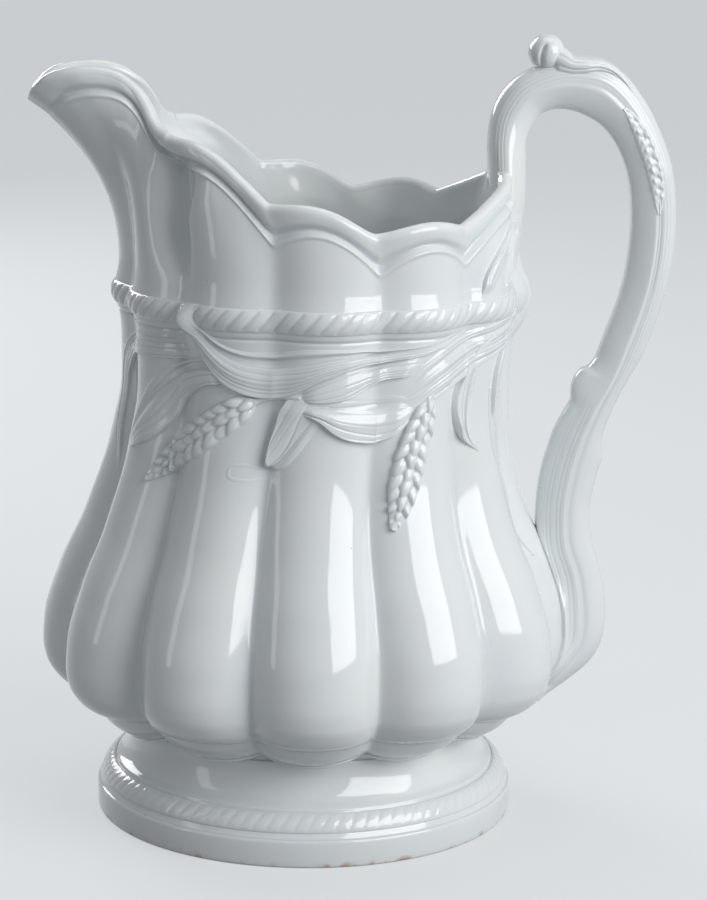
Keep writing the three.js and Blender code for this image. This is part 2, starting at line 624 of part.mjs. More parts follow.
// The relief on the near side, what lies on top first; the far side is its mirror image.
const SPRIGS = [
  {
    name: 'wheat_ear_front',
    ear: relief([
      [-23, 33, 4], [-30.3, 39.6, 6.2], [-38.7, 48.3, 6], [-46.5, 57.4, 4.4], [-52.2, 63.6, 1.4],
    ]),
  },
  {
    name: 'wheat_ear_back',
    ear: relief([
      [31, 30, 2.4], [29, 37.3, 5.2], [26.2, 48, 6.2],
      [24.2, 60.7, 5.8], [22.5, 69.5, 4], [20.5, 76.5, 1.4],
    ]),
  },
  {
    name: 'ribbon_leaf',
    leaf: relief([
      [-41.8, 6.5, 1.4], [-35.8, 13.5, 3.8], [-28.2, 19.5, 5.6], [-19, 22.8, 5.6], [-8, 24.4, 3],
    ]),
  },
  {
    name: 'front_leaf',
    leaf: relief([
      [-28.5, 23, 2.6], [-40.3, 23, 4.4], [-49.5, 28.5, 4.8],
      [-54.1, 37, 4.4], [-56.8, 45, 3], [-60.4, 54.5, 0.6],
    ]),
  },
  {
    name: 'hanging_leaf',
    leaf: relief([[-7, 30.5, 3.6], [-9.5, 39.8, 5.4], [-11, 47.4, 4.2], [-13, 55.2, 0.6]]),
  },
  { name: 'stem_bundle', leaf: relief([[62, 8.5, 2.2], [47.5, 13.5, 3.2], [36, 20.5, 4], [29, 27, 2.6]]) },
  { name: 'upper_leaf', leaf: relief([[31, 13, 1.8], [21, 17.3, 3.6], [6.5, 22.7, 5.2], [-4, 28, 1.2]]) },
  { name: 'lower_leaf', leaf: relief([[25, 30.5, 2.6], [18, 36, 5.4], [6, 36.5, 5.2], [-3.5, 33.5, 1.2]]) },
  {
    name: 'hooked_leaf',
    leaf: relief([[51.5, 17, 1.9], [48, 27.6, 3.3], [47.5, 40.8, 3.3], [50.6, 52.6, 0.6]]),
  },
  { name: 'pointed_leaf', leaf: relief([[67, 12.5, 1.6], [61.7, 28.2, 2.6], [59.9, 40.8, 0.7]]) },
  {
    name: 'spout_leaf',
    leaf: relief([[-84.5, 28, 1.6], [-82, 41.5, 3.4], [-80, 54, 3], [-78.5, 66, 1.8], [-77.3, 75, 0.6]]),
  },
  { name: 'long_stem', leaf: relief([[59.6, 47, 0.9], [61, 58, 0.9], [65, 72, 0.9], [73, 88, 0.9]]) },
  { name: 'ear_stem', leaf: relief([[-8, 28.8, 1], [-14, 29.4, 1.1], [-21, 30.4, 1.3]]) },
  { name: 'tendril', leaf: relief([[-24, 58.5, 0.9], [-16.5, 58, 1.1], [-8, 56.7, 0.6]]) },
  { name: 'neck_leaf_long', leaf: relief([[62, -38, 1.9], [56, -25, 3], [51, -10, 0.8]]) },
  { name: 'neck_leaf_short', leaf: relief([[75, -30, 1.6], [68, -19, 2.4], [62, -9, 0.8]]) },
];

function makeSprig(sprig, grow) {
  return sprig.ear ? makeEar(sprig.ear, { grow }) : makeLeaf(sprig.leaf, { grow });
}

// Handle: its centre line runs from the rim over the top and down to the belly. Stations are
// [reach out, rise, depth], as shares of the handle's own reach, rise and depth.
const topRootX = outside(90, HANDLE_TOP_ROOT).x;
const lowRootX = outside(90, HANDLE_LOW_ROOT).x;
const HANDLE_STATIONS = [
  [-0.06, -0.2, 0.4], [-0.11, 0.03, 0.82], [-0.13, 0.36, 0.82], [-0.13, 0.57, 0.85],
  [-0.09, 0.74, 0.94], [0.02, 0.9, 0.98], [0.19, 0.98, 1.02], [0.385, 1, 1.14],
  [0.58, 0.945, 1.2], [0.745, 0.78, 1.08], [0.87, 0.555, 1], [0.955, 0.285, 1],
];
const HANDLE_DROPS = [
  [0.99, 0, 1], [0.97, -0.075, 1], [0.91, -0.153, 0.99], [0.83, -0.218, 0.97],
  [0.69, -0.305, 0.98], [0.575, -0.371, 1.01], [0.42, -0.436, 1.08], [0.25, -0.525, 1.1],
  [0.15, -0.591, 1.16], [0.08, -0.658, 1.16], [0.055, -0.736, 1.15], [0.1, -0.803, 1.2],
  [0.12, -0.87, 1.3], [0.09, -0.95, 1.28], [-0.1, -1.008, 1.06], [-0.27, -1.05, 0.8],
  [-0.4, -1.09, 0.4],
];

function handleLine() {
  const span = HANDLE_TOP_ROOT - HANDLE_LOW_ROOT;
  const over = HANDLE_STATIONS.map(([out, rise, depth]) => ({
    x: topRootX + HANDLE_REACH * out,
    z: HANDLE_TOP_ROOT + HANDLE_RISE * rise,
    depth: HANDLE_DEPTH * depth,
  }));
  const down = HANDLE_DROPS.map(([out, drop, depth]) => ({
    x: lerp(topRootX, lowRootX, -drop) + HANDLE_REACH * out,
    z: HANDLE_TOP_ROOT + span * drop,
    depth: HANDLE_DEPTH * depth,
  }));
  return [...over, ...down];
}

const handleCurve = new THREE.CatmullRomCurve3(
  handleLine().map(({ x, z, depth }) => new THREE.Vector3(x, depth, z)),
  false,
  'centripetal',
);

// A place on the handle: its centre, its outward direction and its depth there.
function handlePlace(share) {
  const at = handleCurve.getPoint(share);
  const ahead = handleCurve.getPoint(Math.min(share + 0.01, 1));
  const behind = handleCurve.getPoint(Math.max(share - 0.01, 0));
  const along = new THREE.Vector3(ahead.x - behind.x, 0, ahead.z - behind.z).normalize();
  const outward = new THREE.Vector3(-along.z, 0, along.x);
  return { centre: new THREE.Vector3(at.x, 0, at.z), along, outward, depth: at.y };
}

const ROOT_SPREAD = 0.35;          // how much wider the handle gets at its two roots
const TOP_ROOT_END = 0.1;
const LOW_ROOT_START = 0.8;
function handleRings(steps, grow) {
  const section = [[1, 0.3], [0.5, 0.9], [-0.3, 1], [-1, 0.45]];
  const outline = [...section, ...section.slice().reverse().map(([out, across]) => [out, -across])];
  return Array.from({ length: steps + 1 }, (_, i) => {
    const { centre, outward, depth } = handlePlace(i / steps);
    const share = i / steps;
    const atTop = clamp(1 - share / TOP_ROOT_END, 0, 1);
    const atFoot = clamp((share - LOW_ROOT_START) / (1 - LOW_ROOT_START), 0, 1);
    const spread = 1 + ROOT_SPREAD * (atTop + atFoot);
    return outline.map(([out, across]) => centre.clone()
      .addScaledVector(outward, out * (depth / 2 + grow))
      .add(new THREE.Vector3(0, across * ((HANDLE_WIDTH / 2) * spread + grow), 0)));
  });
}

// A long bud on the handle's outer side (1) or its inner side (-1).
const BUD_WIDTH = 0.3;             // half, as a share of the handle's width
function makeBud(share, side) {
  const { centre, along, outward, depth } = handlePlace(share);
  const bud = new THREE.SphereGeometry(1, 8, 6);
  bud.scale(BUD_LENGTH / 2, HANDLE_WIDTH * BUD_WIDTH, BUD_RELIEF * 2);
  const across = outward.clone().cross(along);
  const frame = new THREE.Matrix4().makeBasis(along, across, outward);
  const seat = centre.clone().addScaledVector(outward, side * (depth / 2 - BUD_RELIEF));
  frame.setPosition(seat);
  return solidOf(bud.applyMatrix4(frame));
}

const HANDLE_STEPS = 30;
const INNER_BUD_PLACE = 0.6;
const OUTER_BUD_PLACE = 0.7;
function makeHandle(ropeCutter) {
  const limb = solidOf(skin(handleRings(HANDLE_STEPS, 0)));
  const budded = wasm.Manifold.union([limb, makeBud(INNER_BUD_PLACE, -1), makeBud(OUTER_BUD_PLACE, 1)]);
  return mainBody(budded.subtract(bellyCutter).subtract(shellCutter).subtract(ropeCutter));
}

// Thumb rest: a leaf curled over into a scroll on top of the handle. Its roll and the leaf behind
// it are two rounded bodies, [along, across, up] in scroll radii.
const SCROLL_PLACE = 0.22;
const ROLL_SIZE = [1, 0.5, 1.1];
const ROLL_AT = [0, 0.95];
const LEAF_SIZE = [2.2, 0.42, 0.75];
const LEAF_AT = [1.3, 0.1];
function makeScroll(handleCutter) {
  const { centre, outward, depth } = handlePlace(SCROLL_PLACE);
  const seat = centre.clone().addScaledVector(outward, depth / 2);
  const rounded = ([along, across, up], [x, z]) => {
    const shape = new THREE.SphereGeometry(1, 10, 6);
    shape.scale(SCROLL_RADIUS * along, SCROLL_WIDTH * across, SCROLL_RADIUS * up);
    shape.translate(seat.x + SCROLL_RADIUS * x, 0, seat.z + SCROLL_RADIUS * z);
    return solidOf(shape);
  };
  return mainBody(rounded(ROLL_SIZE, ROLL_AT).add(rounded(LEAF_SIZE, LEAF_AT)).subtract(handleCutter));
}

// A small ear of grains on each flat side of the handle: grains in two rows over a core strip.
const HANDLE_EAR_START = 0.31;
const HANDLE_EAR_END = 0.43;
const HANDLE_GRAIN_SIZE = 0.76;    // of a grain on the body
const HANDLE_GRAIN_SPLAY = 0.45;
const HANDLE_EAR_OUT = 0.08;       // towards the handle's back, as a share of its depth
const SIDEWAYS = new THREE.Vector3(0, 1, 0);

function handleEarPlace(i) {
  const share = lerp(HANDLE_EAR_START, HANDLE_EAR_END, i / (HANDLE_EAR_GRAINS - 1));
  const { centre, along, outward, depth } = handlePlace(share);
  return { middle: centre.clone().addScaledVector(outward, depth * HANDLE_EAR_OUT), along, outward };
}

function makeHandleEar(side, handleCutter) {
  const order = Array.from({ length: HANDLE_EAR_GRAINS }, (_, i) => i);
  const grains = order.map((i) => {
    const { middle, along, outward } = handleEarPlace(i);
    const row = i % 2 === 0 ? 1 : -1;
    const grain = new THREE.SphereGeometry(1, 5, 3);
    grain.scale(GRAIN_LENGTH / 2, GRAIN_RELIEF, GRAIN_WIDTH / 2);
    grain.scale(HANDLE_GRAIN_SIZE, HANDLE_GRAIN_SIZE, HANDLE_GRAIN_SIZE);
    const forward = along.clone().applyAxisAngle(SIDEWAYS, row * HANDLE_GRAIN_SPLAY);
    const frame = new THREE.Matrix4().makeBasis(forward, SIDEWAYS, forward.clone().cross(SIDEWAYS));
    const place = middle.addScaledVector(outward, (row * GRAIN_WIDTH) / 4);
    frame.setPosition(place.x, side * (HANDLE_WIDTH / 2), place.z);
    return solidOf(grain.applyMatrix4(frame));
  });
  const half = GRAIN_WIDTH / 4;
  const core = order.map((i) => {
    const { middle, outward } = handleEarPlace(i);
    return [[-half, -BURIED], [half, -BURIED], [half, 1], [-half, 1]].map(([out, stand]) => middle.clone()
      .addScaledVector(outward, out)
      .addScaledVector(SIDEWAYS, side * (HANDLE_WIDTH / 2 + stand)));
  });
  return mainBody(wasm.Manifold.union([...grains, solidOf(skin(core))]).subtract(handleCutter));
}

// The assembly
const model = new THREE.Group();

function addPiece(name, solid, colour) {
  const material = new THREE.MeshStandardMaterial({ color: colour, roughness: ROUGHNESS, metalness: 0 });
  const mesh = new THREE.Mesh(geometryOf(solid), material);
  mesh.name = name;
  model.add(mesh);
}

const handleCutter = solidOf(skin(handleRings(HANDLE_STEPS, GAP)));
const ropeCutter = makeNeckRope(GAP);

addPiece('foot', makeFoot(), FOOT_COLOUR);
addPiece('foot_rope', makeFootRope(), RELIEF_COLOUR);
addPiece('floor_disc', makeFloor(), BODY_COLOUR);
addPiece('body_wall_near', nearWall, BODY_COLOUR);
addPiece('body_wall_far', farWall, BODY_COLOUR);
addPiece('neck_rope', makeNeckRope(0), RELIEF_COLOUR);
addPiece('handle', makeHandle(ropeCutter), BODY_COLOUR);
addPiece('thumb_scroll', makeScroll(handleCutter), BODY_COLOUR);
addPiece('handle_ear_near', makeHandleEar(-1, handleCutter), RELIEF_COLOUR);
addPiece('handle_ear_far', makeHandleEar(1, handleCutter), RELIEF_COLOUR);

const beneath = wasm.Manifold.union([fullCutter, ropeCutter, handleCutter]);
SPRIGS.forEach((sprig, i) => {
  const above = SPRIGS.slice(0, i).map((other) => makeSprig(other, GAP));
  const whole = above.reduce((solid, other) => solid.subtract(other), makeSprig(sprig, 0));
  addPiece(`${sprig.name}_near`, mainBody(whole.subtract(beneath)), RELIEF_COLOUR);
  addPiece(`${sprig.name}_far`, mainBody(mirrored(whole).subtract(beneath)), RELIEF_COLOUR);
});

// The origin lies on the table under the middle of the whole outline.
const outlineBox = new THREE.Box3().setFromObject(model);
model.position.x = -(outlineBox.min.x + outlineBox.max.x) / 2;

export default model;
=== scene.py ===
"""A tall white ironstone pitcher with lobed body, wheat relief and loop handle, dressed around its frame.

Shapes are worked out in millimetres about the pitcher's own upright axis: x towards the handle, y
towards the far side, z up. Angles round the body are in degrees from the near side towards the
handle. Every mesh is moved to the frame's metres when its object is made.
"""
import logging
import math
from collections.abc import Sequence
from dataclasses import dataclass, field
from enum import Enum

import bpy
import numpy as np
from mathutils import Matrix, Vector

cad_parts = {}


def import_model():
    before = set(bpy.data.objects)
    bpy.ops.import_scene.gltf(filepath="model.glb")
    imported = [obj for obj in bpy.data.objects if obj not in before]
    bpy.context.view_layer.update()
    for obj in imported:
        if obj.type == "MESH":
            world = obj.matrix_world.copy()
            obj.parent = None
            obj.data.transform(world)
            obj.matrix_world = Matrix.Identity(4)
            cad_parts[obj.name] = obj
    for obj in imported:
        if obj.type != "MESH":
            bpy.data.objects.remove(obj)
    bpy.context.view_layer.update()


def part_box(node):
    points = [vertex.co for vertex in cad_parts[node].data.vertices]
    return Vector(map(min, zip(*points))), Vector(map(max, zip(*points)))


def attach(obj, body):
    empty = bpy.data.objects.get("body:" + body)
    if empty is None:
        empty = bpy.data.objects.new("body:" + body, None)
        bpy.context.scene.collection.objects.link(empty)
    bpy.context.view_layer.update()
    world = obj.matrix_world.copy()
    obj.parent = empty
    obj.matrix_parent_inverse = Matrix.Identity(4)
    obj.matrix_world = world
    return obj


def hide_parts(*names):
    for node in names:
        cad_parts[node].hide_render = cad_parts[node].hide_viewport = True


LOG = logging.getLogger("pitcher")
MM = 0.001
METRE = 1000           # in millimetres
BODY = "root"
PHOTO_HEIGHT = 900     # pixels
Amount = np.ndarray | float  # one number or an array of them
Pair = tuple[float, float]
Triple = tuple[float, float, float]


class Side(Enum):
    """The two mirrored sides of the pitcher."""

    NEAR = "near"
    FAR = "far"


class Slot(Enum):
    """The record's material slots."""

    BODY = "body"
    RELIEF = "relief"
    FOOT = "foot"


# Curves and meshes

class Profile:
    """A smooth curve through knots that never overshoots between two of them."""

    def __init__(self, knots: Sequence[Sequence[float]]) -> None:
        """Works out the slopes at the knots.

        Args:
            knots: pairs of x and y, in rising x.
        """
        self.x, self.y = np.asarray(knots, float).T
        self.run = np.diff(self.x)
        rate = np.diff(self.y) / self.run
        before = 2 * self.run[1:] + self.run[:-1]
        after = self.run[1:] + 2 * self.run[:-1]
        turning = rate[:-1] * rate[1:] <= 0
        safe = np.where(turning[:, None], 1.0, np.stack([rate[:-1], rate[1:]], -1))
        mean = (before + after) / (before / safe[:, 0] + after / safe[:, 1])
        self.slope = np.concatenate([rate[:1], np.where(turning, 0, mean), rate[-1:]])

    def __call__(self, value: Amount) -> np.ndarray:
        """Reads the curve, which is level beyond its ends.

        Args:
            value: one x or an array of them.

        Returns:
            The y values, in the shape of value.
        """
        x = np.clip(value, self.x[0], self.x[-1])
        i = np.clip(np.searchsorted(self.x, x, side="right") - 1, 0, len(self.run) - 1)
        t = (x - self.x[i]) / self.run[i]
        leaving = t * (1 - t) ** 2 * self.run[i] * self.slope[i]
        arriving = t * t * (t - 1) * self.run[i] * self.slope[i + 1]
        return between(self.y[i], self.y[i + 1], t * t * (3 - 2 * t)) + leaving + arriving


def between(start: Amount, end: Amount, share: Amount) -> np.ndarray:
    """Returns the place at a share of the way from start to end."""
    return start + (end - start) * share


def wrap(angle: Amount) -> np.ndarray:
    """Returns the same direction between -180 and 180 degrees."""
    return (np.asarray(angle, float) + 180) % 360 - 180


def fold(angle: Amount) -> np.ndarray:
    """Returns the angle's mirror image on the near side, from -90 at the spout to 90 at the handle."""
    return 90 - np.abs(wrap(angle - 90))


def ease(value: Amount, low: float = 0.0, high: float = 1.0) -> np.ndarray:
    """Returns a smooth step at each value: 0 at low and below, 1 at high and above."""
    t = np.clip((np.asarray(value, float) - low) / (high - low), 0, 1)
    return t * t * (3 - 2 * t)


def bell(value: Amount, centre: float, width: float) -> np.ndarray:
    """Returns a soft bump at each value: 1 at the centre, about a third at the width from it."""
    return np.exp(-(((np.asarray(value, float) - centre) / width) ** 2))


def thread(stations: Sequence[Sequence[float]], count: int, scale: Sequence[float]) -> np.ndarray:
    """Spaces points evenly along a smooth line through the stations.

    Args:
        stations: the rows that the line passes through.
        count: how many points to return.
        scale: length of one unit of each leading column, so that angles count as arcs.

    Returns:
        An array of count rows.
    """
    rows = np.asarray(stations, float)
    reach = len(scale)
    chord = np.linalg.norm(np.diff(rows[:, :reach] * scale, axis=0), axis=1)
    at = np.concatenate([[0], np.cumsum(np.sqrt(chord))])
    rate = np.diff(rows, axis=0) / np.diff(at)[:, None]
    share = (np.diff(at)[1:] / (at[2:] - at[:-2]))[:, None]
    inner = rate[:-1] * share + rate[1:] * (1 - share)
    slope = np.vstack([rate[:1], inner, rate[-1:]])
    fine = np.linspace(0, at[-1], count * 8)
    i = np.clip(np.searchsorted(at, fine, side="right") - 1, 0, len(at) - 2)
    run = np.diff(at)[i][:, None]
    t = (fine - at[i])[:, None] / run
    path = (rows[i] * (2 * t**3 - 3 * t**2 + 1) + rows[i + 1] * (3 * t**2 - 2 * t**3)
            + slope[i] * run * (t**3 - 2 * t**2 + t) + slope[i + 1] * run * (t**3 - t**2))
    step = np.linalg.norm(np.diff(path[:, :reach] * scale, axis=0), axis=1)
    length = np.concatenate([[0], np.cumsum(step)])
    even = np.linspace(0, length[-1], count)
    return np.stack([np.interp(even, length, column) for column in path.T], -1)


def unit(vectors: np.ndarray) -> np.ndarray:
    """Returns the vectors at length 1."""
    return vectors / np.maximum(np.linalg.norm(vectors, axis=-1, keepdims=True), 1e-9)


@dataclass
class Surface:
    """Points in millimetres and the faces between them."""

    points: np.ndarray
    faces: list[np.ndarray]

    @classmethod
    def skin(cls, rows: np.ndarray, poles: bool = True, loop: bool = False) -> "Surface":
        """Joins rows of points, each a closed ring, into one skin.

        Args:
            rows: array of rings by points by 3.
            poles: closes the first and the last ring with a fan.
            loop: joins the last ring to the first instead.

        Returns:
            The skin, facing away from the side that the rings turn round.
        """
        rings, count = rows.shape[:2]
        bands = np.arange(rings if loop else rings - 1)[:, None]
        column = np.arange(count)[None, :]
        low, high = bands * count, ((bands + 1) % rings) * count
        following = (column + 1) % count
        quads = np.stack([low + column, low + following, high + following, high + column], -1)
        points = rows.reshape(-1, 3)
        faces = [quads.reshape(-1, 4)]
        if poles and not loop:
            middles = np.stack([rows[0].mean(0), rows[-1].mean(0)])
            first, last = len(points), len(points) + 1
            ring, after = column[0], following[0]
            top = (rings - 1) * count
            points = np.vstack([points, middles])
            faces.append(np.stack([after, ring, np.full(count, first)], -1))
            faces.append(np.stack([top + ring, top + after, np.full(count, last)], -1))
        return cls(points, faces)

    @classmethod
    def joined(cls, parts: Sequence["Surface"]) -> "Surface":
        """Holds several surfaces as one.

        Args:
            parts: the surfaces.

        Returns:
            One surface with all their points and faces.
        """
        points, faces, start = [], [], 0
        for part in parts:
            points.append(part.points)
            faces += [face + start for face in part.faces]
            start += len(part.points)
        return cls(np.vstack(points), faces)

    def flipped(self) -> "Surface":
        """Returns the surface with its faces turned over."""
        return Surface(self.points, [face[:, ::-1] for face in self.faces])

    def on(self, side: Side) -> "Surface":
        """Returns a near surface itself, or its mirror image for the far side."""
        return self if side is Side.NEAR else Surface(self.points * (1, -1, 1), self.flipped().faces)

    def volume(self) -> float:
        """Measures what the surface holds.

        Returns:
            The volume, which is negative where the faces look inwards.
        """
        total = 0.0
        for face in self.faces:
            corner = [self.points[face[:, i]] for i in range(face.shape[1])]
            for i in range(1, len(corner) - 1):
                total += np.einsum("ij,ij->", corner[0], np.cross(corner[i], corner[i + 1]))
        return total / 6

    def outward(self) -> "Surface":
        """Returns the surface with its faces looking out."""
        return self if self.volume() >= 0 else self.flipped()

    def mesh(self, name: str, axis_x: float) -> bpy.types.Mesh:
        """Makes a smooth Blender mesh in metres.

        Args:
            name: the mesh's name.
            axis_x: where the pitcher's axis stands in the frame, in metres.

        Returns:
            The mesh, with its hollows marked.
        """
        mesh = bpy.data.meshes.new(name)
        sizes = np.concatenate([np.full(len(face), face.shape[1]) for face in self.faces])
        corners = np.concatenate([face.ravel() for face in self.faces])
        mesh.vertices.add(len(self.points))
        mesh.loops.add(len(corners))
        mesh.polygons.add(len(sizes))
        placed = self.points * MM + (axis_x, 0, 0)
        mesh.vertices.foreach_set("co", placed.astype(np.float32).ravel())
        mesh.loops.foreach_set("vertex_index", corners.astype(np.int32))
        starts = np.cumsum(sizes) - sizes
        mesh.polygons.foreach_set("loop_start", starts.astype(np.int32))
        mesh.polygons.foreach_set("use_smooth", np.ones(len(sizes), bool))
        mesh.update(calc_edges=True)
        mark_hollows(mesh)
        return mesh


HOLLOW_REACH = 0.9     # millimetres over which the hollow mask, which paints shade and thick glaze into the grooves, evens out
HOLLOW_SPAN = 2.2      # radius in millimetres of a hollow that gets the full painted shade and thick-glaze tint


def read_all(rows: bpy.types.bpy_prop_collection, name: str, width: int, kind: type) -> np.ndarray:
    """Reads one property of all points or edges.

    Args:
        rows: the mesh's points or edges.
        name: the property.
        width: numbers in each.
        kind: their type.

    Returns:
        An array with a row for each point or edge.
    """
    flat = np.empty(len(rows) * width, kind)
    rows.foreach_get(name, flat)
    return flat.reshape(-1, width)


def mark_hollows(mesh: bpy.types.Mesh) -> None:
    """Stores on each point how hollow the surface is there, from 0 to 1.

    Args:
        mesh: the mesh that gets the attribute hollow.
    """
    count = len(mesh.vertices)
    place = read_all(mesh.vertices, "co", 3, np.float32).astype(float) / MM
    normal = read_all(mesh.vertices, "normal", 3, np.float32).astype(float)
    a, b = read_all(mesh.edges, "vertices", 2, np.int32).T
    apart = place[b] - place[a]
    span = np.maximum((apart**2).sum(1), 1e-6)
    bend_a = (apart * normal[a]).sum(1) / span
    bend_b = -(apart * normal[b]).sum(1) / span
    shared = np.maximum(np.bincount(a, minlength=count) + np.bincount(b, minlength=count), 1)
    bend = (np.bincount(a, bend_a, count) + np.bincount(b, bend_b, count)) / shared
    passes = int(np.clip((HOLLOW_REACH / math.sqrt(float(np.median(span)))) ** 2, 1, 24))
    for _ in range(passes):
        around = np.bincount(a, bend[b], count) + np.bincount(b, bend[a], count)
        bend = (bend + around / shared) / 2
    # The glaze reads this to paint shade into the hollows, together with a faint tint of thick glaze.
    layer = mesh.attributes.new("hollow", "FLOAT", "POINT")
    layer.data.foreach_set("value", np.clip(bend * 2 * HOLLOW_SPAN, 0, 1).astype(np.float32))


def turned(angle: np.ndarray, radius: Amount, height: Amount, shift: Amount = 0.0) -> np.ndarray:
    """Returns points about an upright axis that stands shifted towards the handle."""
    a = np.radians(angle)
    return np.stack(np.broadcast_arrays(shift + radius * np.sin(a), -radius * np.cos(a), height), -1)


# The body's form

LIP_STEPS = 240
ARC_FULLNESS = 0.8
ARCH_POWER = 1.4
LIMB_POWER = 1.3
SOFT_HEIGHTS = (120.0, 190.0)          # the grooves grow rounder between these heights
SOFT_GROOVES = (0.06, 0.2)
VALLEY_AIM = (-10.0, 0.0)
# The lip as shares: along from the tip to the cusp, out to the spout's half width and on to the
# cusp, up from the cusp to the crest, and down from there to the tip.
LIP_SHARES = (
    (0, 0, 1, 1), (0.035, 0.5, 1, 0.66), (0.12, 0.78, 1, 0.29), (0.24, 0.92, 1, 0.09),
    (0.36, 0.99, 1, 0.01), (0.48, 1, 1, 0), (0.59, 1.01, 0.97, 0), (0.685, 1.05, 0.89, 0),
    (0.775, 1.13, 0.72, 0), (0.84, 1.3, 0.49, 0), (0.895, 1.55, 0.22, 0), (0.95, 1.8, 0.06, 0),
    (1, 2, 0, 0),
)
# How wide the mouth is against a circle, at each distance towards the handle.
MOUTH_PINCH = (
    (-58, 0.8), (-50, 0.79), (-40, 0.8), (-30, 0.86), (-19, 0.94), (0, 0.945), (20, 0.98), (40, 0.985),
    (55, 0.975), (63, 0.87), (70, 0.75), (75, 0.72),
)
# Knots between two sizes, as shares of the way in height and in radius, depth or lean.
PETAL_SHARES = ((0.1, 0.36), (0.31, 0.68), (0.62, 0.915))
SIDE_SHARES = ((0.09, 0.02), (0.29, 0.24), (0.51, 0.61), (0.79, 0.915))
DEPTH_SHARES = ((0.3, 0.2), (0.6, 0.58))
LEAN_SHARES = ((0.5, 0), (0.8, 0.33), (1, 0.8))


@dataclass(frozen=True)
class BodyForm:
    """The vessel's outside, in millimetres, as a function of the angle and the height."""

    lobes: int = 12
    petal_edge: float = 48.0           # crisp lower edge of the lobes, on a crest
    petal_edge_rise: float = 1.9       # and this much higher in a groove
    petal_edge_radius: float = 88.5
    belly_height: float = 67.0
    belly_radius: float = 103.4
    neck_height: float = 172.0
    neck_radius: float = 75.4
    rope_height: float = 205.5
    rope_radius: float = 76.6
    rope_swell: float = 2.1            # the wall swells softly under the rope
    rope_spread: float = 7.2
    neck_top: float = 213.9
    neck_top_radius: float = 77.0
    lean_reach: float = 3.7            # the neck stands this far towards the handle
    depth_petal: float = 9.2           # crest to groove
    depth_belly: float = 11.5
    depth_neck: float = 3.8
    rim_radius: float = 80.0
    rim_depth: float = 3.6
    rim_centre: float = 1.0            # the mouth's circle lies this far towards the handle
    arches: tuple[float, ...] = (6.8, 4.2, 3.2, 1.8)
    cusps: tuple[float, ...] = (268.0, 246.4, 235.8, 237.0, 252.0)
    limb_top: float = 268.0            # the rim climbs to here inside the handle
    limb_inset: float = 1.4
    spout_reach: float = 108.0
    spout_half: float = 17.0
    spout_crest: float = 290.1
    spout_tip: float = 279.0
    spout_turn: float = 2.9            # degrees that the spout draws its first cusp forward
    valley_depth: float = 9.6          # hollow between the spout and the first scallop
    valley_low: Pair = (9.5, 2.6)      # degrees on its two sides, low on the neck
    valley_high: Pair = (3.0, 8.5)     # and under the rim
    valley_shift: float = 1.2          # degrees that its line lies before the cusp
    valley_turn: Pair = (0.45, 0.85)   # shares of the way up: it changes sides
    valley_start: Pair = (0.0, 0.4)    # it grows
    valley_end: Pair = (0.78, 0.94)    # and it fades
    root_swell: float = 2.2            # the wall swells round the handle's upper root
    root_half: float = 13.0
    root_start: Pair = (0.1, 0.5)      # shares of the way up: the swelling grows
    root_end: Pair = (0.8, 1.0)        # and fades
    line_height: float = 198.4         # incised line under the rope
    line_half: float = 0.7
    line_depth: float = 0.55
    flare_power: float = 2.4
    groove_fill: float = 0.34          # share of a groove that the clay of a sprig fills
    bridge_half: float = 0.22          # half width of that filling, in half lobes
    bridge_rise: Pair = (0.15, 1.1)    # it grows with the sprig's own height
    crest: Profile = field(init=False)
    depth: Profile = field(init=False)
    lean: Profile = field(init=False)
    pinch: Profile = field(init=False)
    lip: np.ndarray = field(init=False)

    def __post_init__(self) -> None:
        """Draws the profiles and the spout's lip from the sizes."""
        petal = (self.petal_edge, self.petal_edge_radius)
        belly = (self.belly_height, self.belly_radius)
        neck = (self.neck_height, self.neck_radius)
        full, shallow = (self.belly_height, self.depth_belly), (self.neck_height, self.depth_neck)
        upright, leaning = (self.belly_height, 0), (self.neck_height, self.lean_reach)
        curves = {
            "crest": [petal, *shares(petal, belly, PETAL_SHARES), belly, *shares(belly, neck, SIDE_SHARES),
                      neck, (self.rope_height, self.rope_radius), (self.neck_top, self.neck_top_radius)],
            "depth": [(self.petal_edge, self.depth_petal), full, *shares(full, shallow, DEPTH_SHARES),
                      shallow, (self.neck_top, self.depth_neck)],
            "lean": [(self.petal_edge, 0), *shares(upright, leaning, LEAN_SHARES),
                     (self.neck_top, self.lean_reach)],
            "pinch": MOUTH_PINCH,
        }
        for name, knots in curves.items():
            object.__setattr__(self, name, Profile(knots))
        object.__setattr__(self, "lip", thread(self.lip_stations(), LIP_STEPS, (1, 1, 1)))

    @property
    def half_lobe(self) -> float:
        """Returns the degrees from a lobe's crest to its groove."""
        return 180 / self.lobes

    @property
    def first_cusp(self) -> float:
        """Returns the angle of the cusp between the spout and the first scallop."""
        return -3 * self.half_lobe

    def lip_stations(self) -> list[Triple]:
        """Lays the spout's lip out from its tip back to the first cusp.

        Returns:
            Rows of x, half width and height.
        """
        first = math.radians(self.first_cusp - self.spout_turn)
        radius = self.rim_radius - self.rim_depth
        cusp_x = self.rim_centre + radius * math.sin(first)
        cusp_y = radius * math.cos(first) * float(self.pinch(cusp_x))
        rows = []
        for along, out, up, drop in LIP_SHARES:
            y = self.spout_half * min(out, 1) + (cusp_y - self.spout_half) * max(out - 1, 0)
            z = between(self.cusps[0], self.spout_crest, up) - (self.spout_crest - self.spout_tip) * drop
            rows.append((between(-self.spout_reach, cusp_x, along), y, z))
        return rows

    def phase(self, angle: np.ndarray) -> np.ndarray:
        """Returns the place on a lobe at each angle, from 0 on its crest to 1 in the groove."""
        half = self.half_lobe
        return np.abs((np.asarray(angle, float) + half) % (2 * half) - half) / half

